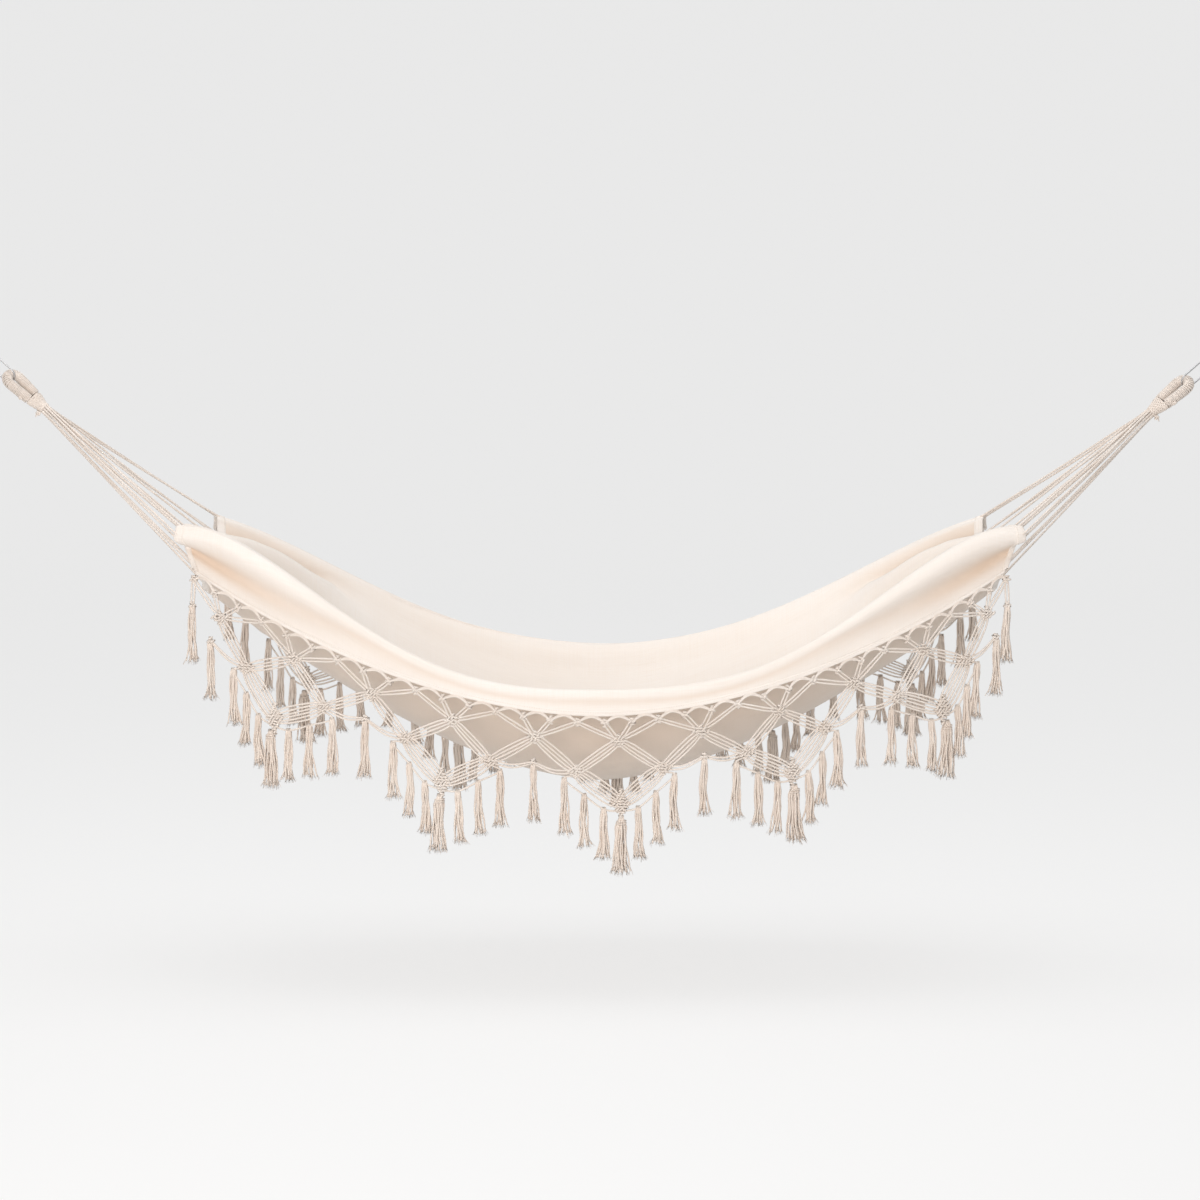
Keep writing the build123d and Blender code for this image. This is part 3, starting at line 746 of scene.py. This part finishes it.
def addBed(canvas, thread):
    grid = bedGrid()
    shades = valleyShades(grid)
    # the valley values are painted shade: the grooves on both faces, and the whole underside
    cloth = buildPiece(
        "bedCloth", [sheetPart(grid, bed["clothThickness"])], canvas, replaced=("bed_canvas",),
        valley=np.concatenate((shades, np.maximum(shades, underShades(grid)))),
    )
    length = polylineLength(grid[:, acrossCount // 2])
    width = float(np.mean([polylineLength(row) for row in grid[:: len(grid) // 20]]))
    print("bed cloth", round(width, 3), "by", round(length, 3), "m")
    hems = []
    for side, name in ((-1, "near"), (1, "far")):
        line, down, across = sideHemLine(grid, side)
        parts = [bandPart(line, down, across, hem["sideWidth"], hem["sideThickness"], 3.0 * mm)]
        outward = across * np.sign(across[:, 1:2] * side)
        row = line + down * (0.5 * mm) + outward * 0.5 * hem["sideThickness"]
        piece = buildPiece(name + "SideHem", parts, canvas, replaced=(name + "_side_hem",))
        stitches = buildPiece(name + "SideStitches", stitchParts(row, outward), thread)
        hems += [piece, stitches]
    for side, name in ((-1, "left"), (1, "right")):
        edge = grid[0 if side < 0 else -1]
        back = grid[2 if side < 0 else -3]
        down = unit(edge - back)
        along = unit(np.gradient(edge, axis=0))
        across = unit(np.cross(down, along))
        parts = [bandPart(edge, down, across, hem["endWidth"], hem["endThickness"], 14 * mm)]
        piece = buildPiece(name + "EndHem", parts, canvas, replaced=(name + "_end_hem",))
        rows = []
        for way in (-1, 1):
            outward = across * way
            rows += stitchParts(edge - down * 11 * mm + outward * 0.44 * hem["endThickness"], outward)
        stitches = buildPiece(name + "EndStitches", rows, thread)
        hems += [piece, stitches]
    return grid, cloth, hems, (width, length)


# Ends: the line of pull, the eye, its wrapping, the throat and the cords

pull = {
    "left": {"side": -1, "angle": 43.2, "seat": (-1.312, 0.0)},
    "right": {"side": 1, "angle": 40.9, "seat": (1.306, -14 * mm)},
    "seatHeight": 135.1 * mm,
    "throatLength": 35 * mm,
    "twist": 55.0,
}

eye = {
    "legRadius": 11.45 * mm,
    "bendRadius": 17 * mm,
    "legLength": 52 * mm,
    "wrapRadius": 1.8 * mm,
    "wrapsPerLeg": 15,
    "wrapsAtBend": 16,
    "throatWraps": 12,
    "throatCordRadius": 1.95 * mm,
    "neckRadius": 12.4 * mm,
}

rope = {
    "radius": 2.55 * mm,
    "spacing": 5.5 * mm,
    "lay": 22 * mm,
    "feet": ((1, 3, 5), (7, 9, 11, 14), (18, 23, 25, 28), (32, 34, 38)),
}


def endFrame(name):
    end = pull[name]
    angle = math.radians(end["angle"])
    way = np.array([end["side"] * math.cos(angle), 0.0, math.sin(angle)])
    rise = np.array([-end["side"] * math.sin(angle), 0.0, math.cos(angle)])
    twist = math.radians(pull["twist"])
    wide = rise * math.cos(twist) + np.array([0.0, math.sin(twist), 0.0])
    seat = np.array([end["seat"][0] + middleX, 0.0, end["seat"][1]])
    top = seat - way * pull["seatHeight"]
    return {"side": end["side"], "pull": way, "rise": rise, "wide": wide, "across": np.cross(way, wide),
            "top": top, "neck": top - way * pull["throatLength"]}


def eyeLine(end):
    height, radius, half = eye["legLength"], eye["bendRadius"], eye["legRadius"] + 0.4 * mm
    slant = math.hypot(half, height)
    taper = math.asin(radius / slant) - math.atan2(half, height)
    leg = math.sqrt(slant**2 - radius**2)
    rows = []
    for s in np.linspace(0, leg, 24, endpoint=False):
        share = s / leg
        x = half + (radius * math.cos(taper) - half) * share
        rows.append((x, share * (height - radius * math.sin(taper)), math.cos(taper), -math.sin(taper)))
    for turn in np.linspace(-taper, math.pi + taper, 41):
        rows.append((radius * math.cos(turn), height + radius * math.sin(turn), math.cos(turn), math.sin(turn)))
    for row in reversed(rows[:24]):
        rows.append((-row[0], row[1], -row[2], row[3]))
    rows = np.array(rows)
    place = end["top"] + rows[:, :1] * end["wide"] + rows[:, 1:2] * end["pull"]
    outward = rows[:, 2:3] * end["wide"] + rows[:, 3:4] * end["pull"]
    return place, outward, leg, radius * (math.pi + 2 * taper)


def alongLine(place, outward, reach, s):
    return sampleAt(s, reach, place), unit(sampleAt(s, reach, outward))


def wander(rng, turn, turns, reach):  # a small drift that changes from turn to turn
    return np.interp(turn, np.arange(turns + 1), [rng.uniform(-reach, reach) * mm for _ in range(turns + 1)])


def addEye(name, end, ropeLook):
    place, outward, leg, bend = eyeLine(end)
    reach = runLength(place)
    core = tubePart(place, eye["legRadius"] - 2.1 * eye["wrapRadius"], sides=20, plyDepth=0)
    buildPiece(name + "EyeCore", [core], ropeLook, replaced=(name + "_eye_core",))
    # the wrapping: close turns, a little uneven
    rng = random.Random(5 if end["side"] < 0 else 6)
    turns = 2 * eye["wrapsPerLeg"] + eye["wrapsAtBend"]
    steps = 36
    turn = np.arange(turns * steps + 1) / steps
    marks = [0, eye["wrapsPerLeg"], eye["wrapsPerLeg"] + eye["wrapsAtBend"], turns]
    s = np.interp(turn, marks, [1.5 * mm, leg, leg + bend, reach[-1] - 1.5 * mm])
    spot, out = alongLine(place, outward, reach, s + wander(rng, turn, turns, 0.35))
    angle = 2 * math.pi * turn
    r = eye["legRadius"] - eye["wrapRadius"] + wander(rng, turn, turns, 0.3)
    path = spot + out * (np.cos(angle) * r)[:, None] + end["across"] * (np.sin(angle) * r)[:, None]
    parts = [tubePart(path, eye["wrapRadius"], lay=14 * mm, plyDepth=0.14)]
    # the tucked end of the wrapping on the front leg
    tuck, tuckOut = alongLine(place, outward, reach, reach[-1] - 16 * mm)
    parts.append(knotPart(tuck + tuckOut * (eye["legRadius"] + 1 * mm), 5 * mm, end["pull"], end["across"], 40))
    buildPiece(name + "EyeWrapping", parts, ropeLook, replaced=(name + "_eye_wrapping",))


def knotPart(centre, size, up, facing, seed):
    rng = random.Random(seed)
    up = unit(np.asarray(up))
    facing = unit(np.asarray(facing) - up * np.dot(facing, up))
    right = np.cross(facing, up)
    t = np.linspace(0, 2 * math.pi, 34)
    tilt = rng.uniform(-0.3, 0.3)
    x = (np.sin(t) + 2 * np.sin(2 * t)) / 3
    y = (np.cos(t) - 2 * np.cos(2 * t)) / 3
    z = -np.sin(3 * t) * 0.55
    path = np.asarray(centre) + size * 0.72 * (
        right * (x * math.cos(tilt) - y * math.sin(tilt))[:, None]
        + up * (x * math.sin(tilt) + y * math.cos(tilt))[:, None]
        + facing * z[:, None]
    )
    return tubePart(path, size * 0.36, sides=7, plyDepth=0.14, lay=14 * mm)


def throatRadius(share):  # half width and half depth, from the eye down to the neck
    neck = eye["neckRadius"]
    wide = 2 * eye["legRadius"] + 0.4 * mm
    deep = eye["legRadius"] + 0.5 * mm
    return between((wide, neck), ease(share)), deep * (1 - ease(share)) + neck * ease(share)


def ovalSpot(end, height, wide, deep, angle):
    spot = end["top"] + end["pull"] * height + end["wide"] * np.asarray(wide * np.cos(angle))[..., None]
    return spot + end["across"] * np.asarray(deep * np.sin(angle))[..., None]


def addThroat(name, end, ropeLook):
    turns, steps = eye["throatWraps"], 40
    turn = np.arange(turns * steps + 1) / steps
    loose = wander(random.Random(9), turn, turns, 0.5) - 1.75 * mm
    path = []
    for k, share in enumerate(turn / turns):
        wide, deep = throatRadius(share)
        angle = 2 * math.pi * turn[k]
        height = -share * (pull["throatLength"] - 3 * mm) - 1.5 * mm + 0.7 * mm * math.sin(3 * angle + k)
        path.append(ovalSpot(end, height, wide + loose[k], deep + loose[k], angle))
    wrap = tubePart(np.array(path), eye["throatCordRadius"], lay=22 * mm, plyDepth=0.14)
    rings = []
    for share in np.arange(17) / 16:
        wide, deep = throatRadius(share)
        angle = np.arange(28) * 2 * math.pi / 28
        rings.append(ovalSpot(end, -pull["throatLength"] * share, wide - 2.9 * mm, deep - 2.9 * mm, angle))
    core = gridTube(np.array(rings))
    buildPiece(name + "Throat", [wrap, core], ropeLook, replaced=(name + "_throat",))
    # the tail knot below, with three short ends
    low = unit(-end["rise"] - np.array([0, 0.6, 0]))
    spot = end["neck"] + end["pull"] * 3 * mm + low * (throatRadius(0.9)[1] + 5.6 * mm)
    knot = [knotPart(spot, 6 * mm, end["pull"], low, 3)]
    for a, b in ((0.2, 1.0), (-0.5, 0.8), (0.7, 0.5)):
        bend = spot + low * 5 * mm * b + end["wide"] * 4 * mm * a
        tip = spot + low * 9 * mm * b + end["wide"] * 8 * mm * a - end["pull"] * 3 * mm
        knot.append(tubePart(smoothPath([spot, bend, tip], 1.5 * mm), 1.0 * mm, sides=6))
    buildPiece(name + "TailKnot", knot, ropeLook, replaced=(name + "_tail_knot",))


def gridTube(rings):
    count, sides = rings.shape[:2]
    uv = np.stack((np.tile(np.arange(sides) * 2 * mm, count), np.repeat(np.arange(count) * 3 * mm, sides)), axis=-1)
    return rings.reshape(-1, 3), ringFaces(count, sides), uv


def addRopes(name, end, grid, ropeLook):
    edge = grid[0 if end["side"] < 0 else -1]
    rng = random.Random(21 if end["side"] < 0 else 22)
    parts = []
    columns = len(rope["feet"])
    for c, column in enumerate(rope["feet"]):
        feet = sorted((edge[int(i * 0.5 * bed["acrossSteps"])] for i in column), key=lambda p: -p[2])
        for r, foot in enumerate(feet):
            head = end["neck"] + end["rise"] * ((0.5 * (len(column) - 1) - r) * rope["spacing"])
            head = head + np.array([0, (c - 0.5 * (columns - 1)) * rope["spacing"], 0])
            way = (foot - head) / np.linalg.norm(foot - head)
            start = head + end["pull"] * 8 * mm
            sway = np.array([rng.uniform(-1, 1), rng.uniform(-1, 1), rng.uniform(-2.5, -0.5)]) * mm
            spots = [start, head, head + way * 60 * mm, 0.5 * (head + foot) + sway]
            path = smoothPath(spots + [foot - way * 40 * mm, foot + way * 2 * mm], 2.6 * mm)
            phase = rng.uniform(0, 6)
            parts.append(tubePart(path, rope["radius"], sides=12, lay=rope["lay"], plyDepth=0.2, phase=phase))
            # each cord is whipped where it goes into the hem
            collar = smoothPath([foot - way * 9 * mm, foot + way * 1 * mm], 1 * mm)
            swell = rope["radius"] * np.linspace(1.0, 1.45, len(collar))
            parts.append(tubePart(collar, swell, sides=12, lay=10 * mm, plyDepth=0.22))
    buildPiece(name + "SuspensionCords", parts, ropeLook, replaced=(name + "_suspension_cords",))


# Fringe: places are (k, depth), with k in half points from the middle of the side

fringe = {
    "points": 5,
    "lean": 0.7,
    "shift": 37 * mm,
    "cordRadius": 2.15 * mm,
    "cordSpacing": 6.4 * mm,
    "lay": 20 * mm,
    "hitch": 13 * mm,
    "firstKnot": 51 * mm,
    "secondKnot": 114 * mm,
    "tipKnot": 180 * mm,
    "valleyKnot": 104 * mm,
    "endLoop": 68 * mm,
}

# half width and half height of each knot in millimetres, and the size of a hitch in it
knots = {
    "hitch": (6.5, 5.0),
    "first": (17, 12.5),
    "second": (16, 14),
    "tip": (19, 27),
    "valley": (6.5, 6),
    "lump": 4.9 * mm,
}

tassel = {
    "strands": 14,
    "strandRadius": 2.05 * mm,
    "wave": 2.0 * mm,
    "radius": 8.6 * mm,
    "flare": 6.5 * mm,
    "fray": 20 * mm,
    "hairs": 4,
    "hairRadius": 0.42 * mm,
    "lengths": {"tip": 114 * mm, "inner": 105 * mm, "middle": 107 * mm, "outer": 114 * mm, "valley": 116 * mm},
    "hangers": ((0.63, 131 * mm, "outer"), (0.40, 162 * mm, "middle"), (0.19, 190 * mm, "inner")),
    "tipGrowth": 1.7,
    "tipStrands": 1.9,
    "goldenAngle": 2.399963,
}


def hemFoot(grid, side):
    line, down, across = sideHemLine(grid, side)
    foot = line + down * (hem["sideWidth"] - 3.0 * mm)
    order = np.argsort(foot[:, 0])
    return foot[order]


class Fringe:
    def __init__(self, grid, side):
        self.side = side
        self.foot = hemFoot(grid, side)
        self.rng = random.Random(100 + side)

    def hemX(self, k):
        share = k / (fringe["points"] + 0.5)
        shift = fringe["shift"] * (1 - share * share)
        return middleX + bed["halfLength"] * (1.075 * share - 0.075 * share**3) + shift

    def footAt(self, x):
        return np.array([x] + [np.interp(x, self.foot[:, 0], self.foot[:, i]) for i in (1, 2)])

    def spot(self, k, depth):
        x = self.hemX(k)
        base = self.footAt(x)
        slope = (self.footAt(x + 4 * mm)[2] - self.footAt(x - 4 * mm)[2]) / (8 * mm)
        lean = fringe["lean"] * math.atan(slope)
        place = base + np.array([depth * math.sin(lean), 0, -depth * math.cos(lean)])
        place[1] = self.footAt(place[0])[1]
        return place

    def outward(self, x):
        step = self.footAt(x + 4 * mm) - self.footAt(x - 4 * mm)
        out = np.array([step[1], -step[0], 0.0]) * (-self.side)
        return out / np.linalg.norm(out)

    def cord(self, places):
        path = smoothPath(places, 2.4 * mm)
        return tubePart(path, fringe["cordRadius"], lay=fringe["lay"], phase=self.rng.uniform(0, 6))

    def bundle(self, start, end, count, sag=1.5 * mm, pinch=0.55):
        parts = []
        way = (end - start) / np.linalg.norm(end - start)
        out = self.outward(0.5 * (start[0] + end[0]))
        across = np.cross(out, way)
        for i in range(count):
            offset = (i - 0.5 * (count - 1)) * fringe["cordSpacing"]
            lift = out * self.rng.uniform(-1.0, 1.0) * mm
            path = [start + across * offset * pinch + lift]
            for share in (0.27, 0.73):
                place = start + (end - start) * share + across * offset * self.rng.uniform(0.92, 1.08) + lift
                path.append(place + raised(-sag * self.rng.uniform(0.2, 1.0)))
            path.append(end + across * offset * pinch + lift)
            parts.append(self.cord(path))
        return parts

    def cluster(self, centre, size, seed):
        wide, high = size[0] * mm, size[1] * mm
        out = self.outward(centre[0])
        right = np.cross(np.array([0, 0, 1.0]), out)
        rng = random.Random(seed)
        step = knots["lump"] * 1.45
        parts = []
        rows = int(high / (step * 0.8)) + 1
        for row in range(-rows, rows + 1):
            z = row * step * 0.8
            half = wide * (1 - abs(z) / (high * 1.15))
            if half <= 0:
                continue
            count = max(1, int(round(2 * half / step)))
            for i in range(count):
                x = (i - 0.5 * (count - 1)) * step
                if abs(x) > half:
                    continue
                swell = math.sqrt(max(0.0, 1 - (x / (wide * 1.1)) ** 2 - (z / (high * 1.1)) ** 2))
                for face in (-1, 1):
                    spot = centre + right * (x + rng.uniform(-0.6, 0.6) * mm)
                    spot = spot + raised(z + rng.uniform(-0.6, 0.6) * mm)
                    spot = spot + out * face * (1.0 * mm + 3.2 * mm * swell)
                    parts.append(hitchPart(spot, knots["lump"], out * face, right, rng))
        return parts


def hitchPart(spot, size, out, right, rng):
    up = np.cross(out, right)
    lean = rng.choice((-1, 1)) * rng.uniform(0.3, 0.7)
    way = right * math.cos(lean) + up * math.sin(lean)
    side = np.cross(out, way)
    t = np.linspace(-1, 1, 7)
    path = spot + way * (t * size * 0.95)[:, None] + out * (size * 0.55 * (1 - t**2) - size * 0.45)[:, None]
    path = path + side * (size * 0.18 * np.sin(t * 2.5))[:, None]
    radius = size * 0.50 * (0.75 + 0.25 * (1 - t**2))
    return tubePart(path, radius, sides=7, lay=14 * mm, plyDepth=0.16, phase=rng.uniform(0, 6))


def tasselParts(top, length, kind, seed, out):
    rng = random.Random(seed)
    grow = tassel["tipGrowth"] if kind == "tip" else 1.0
    strands = int(tassel["strands"] * (tassel["tipStrands"] if kind == "tip" else 1.0))
    radius = tassel["radius"] * grow
    right = np.cross(raised(1.0), out)
    parts = []
    sway = right * rng.uniform(-5, 5) * mm + out * rng.uniform(-2, 2) * mm
    bow = rng.uniform(-2.5, 2.5) * mm
    for i in range(strands):
        ring = math.sqrt((i + 0.5) / strands)
        angle = i * tassel["goldenAngle"] + rng.uniform(-0.2, 0.2)
        beside, ahead = math.cos(angle), math.sin(angle)
        offset = right * beside * ring * radius * 0.86 + out * ahead * ring * radius * 0.72
        reach = length * rng.uniform(0.93, 1.0)
        drift = right * rng.uniform(-2.2, 2.2) * mm + out * rng.uniform(-1.5, 1.5) * mm
        phase = rng.uniform(0, 6.28)
        # over the cord that carries it, then down
        front = out * (1 if ahead >= 0 else -1) * mm
        path = [
            top - front * 1.5 + right * beside * 3.0 * mm - raised(2.0 * mm),
            top + right * beside * 3.4 * mm + raised(2.0 * mm + 1.2 * mm * ring),
            top + front * (2.2 + 2.0 * ring) + right * beside * 4.2 * mm - raised(3.5 * mm),
        ]
        for share in (0.16, 0.34, 0.54, 0.74, 0.9, 1.0):
            spread = 0.82 + 0.30 * share + (share**5) * tassel["flare"] / radius * 0.9
            wave = math.sin(share * 8 + phase) * tassel["wave"] * min(1.0, share * 2.2)
            place = top + offset * spread + drift * share + sway * share * share
            path.append(place + right * (wave + bow * math.sin(share * 3.1)) - raised(reach * share))
        line = smoothPath(path, 4.0 * mm)
        along = np.linspace(0, 1, len(line))
        thick = tassel["strandRadius"] * (1.0 - 0.35 * np.clip((along - 0.86) / 0.14, 0, 1))
        parts.append(tubePart(line, thick, sides=7, lay=32 * mm, plyDepth=0.2, phase=phase))
        # the yarn comes apart at the end
        way = unit(line[-1] - line[-3])
        root = line[-1] - way * tassel["fray"] * 0.75
        radial = unit(offset + right * 1e-6)
        for _ in range(tassel["hairs"]):
            fan = radial * rng.uniform(0.0, 4.5) * mm + right * rng.uniform(-3.6, 3.6) * mm
            fan = fan + out * rng.uniform(-2.6, 2.6) * mm
            tip = root + way * (tassel["fray"] * rng.uniform(0.85, 1.15)) + fan
            hair = smoothPath([root, 0.5 * (root + tip) - fan * 0.2, tip], 7 * mm)
            taper = tassel["hairRadius"] * np.linspace(1.5, 0.6, len(hair))
            parts.append(tubePart(hair, taper, sides=4, plyDepth=0))
    if kind == "tip":  # two turns that close its head
        angle = np.linspace(0, 2 * math.pi, 22)
        for turn in (0, 1):
            loop = top - raised((6.0 + 3.2 * turn) * mm * 1.3) + right * (np.cos(angle) * 5.6 * mm * grow)[:, None]
            loop = loop + out * (np.sin(angle) * 5.0 * mm * grow)[:, None]
            loop = loop + raised(1.0)[None, :] * (np.cos(angle + turn) * mm)[:, None]
            parts.append(tubePart(loop, 1.6 * mm, sides=7, lay=14 * mm))
    return parts


def fringePoint(net, centre, owned, isLast, isFirst):
    cords, lumps, hanging = [], [], []
    third = 1 / 3
    # scallops under the hem, from hitch to hitch
    places = [centre - 1 + third * 0.5 + third * i for i in range(6)]
    if isFirst:
        places = [centre - 1.5, centre - 1 - third * 0.5] + places
    if isLast:
        places = places + [centre + 1 + third * 0.5, centre + 1.5]
    ends = places + ([] if isLast else [centre + 1 + third * 0.5])
    for a, b in zip(ends, ends[1:]):
        rise = net.spot(0.5 * (a + b), -1.0 * mm)
        left, right = net.spot(a, fringe["hitch"]), net.spot(b, fringe["hitch"])
        before, after = [net.spot(a + (b - a) * share, 2.0 * mm) for share in (0.28, 0.72)]
        cords.append(net.cord([left, before, rise, after, right]))
        shift = net.outward(rise[0]) * 2.5 * mm
        turn = shift * 0.4 - raised(3 * mm)
        low = rise + shift - raised(2.5 * mm)
        cords.append(net.cord([left + shift, before + turn, low, after + turn, right + shift]))
    for k in places:
        lumps += net.cluster(net.spot(k, fringe["hitch"]), knots["hitch"], hash((round(k * 6), net.side)) % 9999)
    # hitches to the first row of knots
    firsts = [(centre, (-1, 1)), (centre - 1, (-1, 1) if isFirst else (1,)), (centre + 1, (-1, 1) if isLast else (-1,))]
    for k, ways in firsts:
        knot = net.spot(k, fringe["firstKnot"])
        for way in ways:
            for reach in (0.5, 0.5 * third):
                hitch = net.spot(k + way * reach, fringe["hitch"])
                cords += net.bundle(hitch, knot + (hitch - knot) * 0.14, 2, sag=1 * mm, pinch=0.75)
    lumps += net.cluster(net.spot(centre, fringe["firstKnot"]), knots["first"], 10 + centre)
    for k in owned:
        lumps += net.cluster(net.spot(k, fringe["firstKnot"]), knots["first"], 30 + k)
        lumps += net.cluster(net.spot(k, fringe["valleyKnot"]), knots["valley"], 50 + k)
    # down to the second row, the valleys and the tip
    tip = net.spot(centre, fringe["tipKnot"])
    for way in (-1, 1):
        low = net.spot(centre + 0.5 * way, fringe["secondKnot"])
        cords += net.bundle(net.spot(centre, fringe["firstKnot"]), low, 4)
        cords += net.bundle(net.spot(centre + way, fringe["firstKnot"]), low, 4)
        cords += net.bundle(low, tip, 6, sag=2 * mm, pinch=0.6)
        valley = net.spot(centre + way, fringe["valleyKnot"])
        dip = 0.5 * (low + valley) - raised(9 * mm)
        for i in (-1, 1):
            shift = raised(3.2 * mm * i)
            cords.append(net.cord([low + shift, dip + shift, valley + shift * 0.5]))
        lumps += net.cluster(low, knots["second"], 70 + centre * 3 + way)
        edge = [low - raised(8 * mm)] + [net.spot(centre + way * r, d) for r, d, kind in tassel["hangers"]]
        edge.append(net.spot(centre, fringe["tipKnot"] + 16 * mm))
        cords.append(net.cord(edge))
        hanging += [(centre + way * r, d, kind) for r, d, kind in tassel["hangers"]]
    lumps += net.cluster(tip, knots["tip"], 90 + centre)
    hanging.append((centre, fringe["tipKnot"] + 28 * mm, "tip"))
    for k in owned:
        hanging.append((k, fringe["valleyKnot"] + 4 * mm, "valley"))
    if isFirst or isLast:
        k = centre + (1.5 if isLast else -1.5)
        end = net.spot(k, fringe["endLoop"])
        cords += net.bundle(net.spot(k, fringe["hitch"]), end, 2, sag=0.0)
        hanging.append((k, fringe["endLoop"], "valley"))
        lumps += net.cluster(end, knots["valley"], 77)
    return cords, lumps, hanging


def addFringe(grid, side, name, cordLook, yarnLook):
    net = Fringe(grid, side)
    pieces = []
    last = fringe["points"] - 1
    for i in range(fringe["points"]):
        centre = 2 * i - last
        owned = [centre + 1] if centre > 0 else [centre - 1] if centre < 0 else [-1, 1]
        cords, lumps, hanging = fringePoint(net, centre, owned, centre == last, centre == -last)
        number = str(i + 1)
        nodes = (name + "_net_" + number,)
        pieces.append(buildPiece(name + "Net" + number, cords + lumps, cordLook, replaced=nodes))
        parts = []
        for n, (k, depth, kind) in enumerate(hanging):
            top = net.spot(k, depth)
            seed = 1000 * (i + 1) + 37 * n + (7 if side > 0 else 0)
            parts += tasselParts(top, tassel["lengths"][kind], kind, seed, net.outward(top[0]))
        nodes = (name + "_tassels_" + number,)
        pieces.append(buildPiece(name + "Tassels" + number, parts, yarnLook, replaced=nodes))
    print(name, "fringe ready")
    return pieces


# Build

addCamera()
addStudio()
yarn = yarnGroup()
canvas = canvasMaterial(weaveGroup())
thread, ropeLook, cordLook, yarnLook = [yarnMaterial(name, yarn, *look) for name, look in yarnLooks.items()]
steel = steelMaterial()
print("materials ready")

grid, cloth, hems, cut = addBed(canvas, thread)
for name in ("left", "right"):
    end = endFrame(name)
    addEye(name, end, ropeLook)
    addThroat(name, end, ropeLook)
    addRopes(name, end, grid, ropeLook)
    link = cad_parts[name + "_hanging_link"]
    link.data.materials.clear()
    link.data.materials.append(steel)
print("ends ready")
trims = addFringe(grid, -1, "near", cordLook, yarnLook) + addFringe(grid, 1, "far", cordLook, yarnLook)
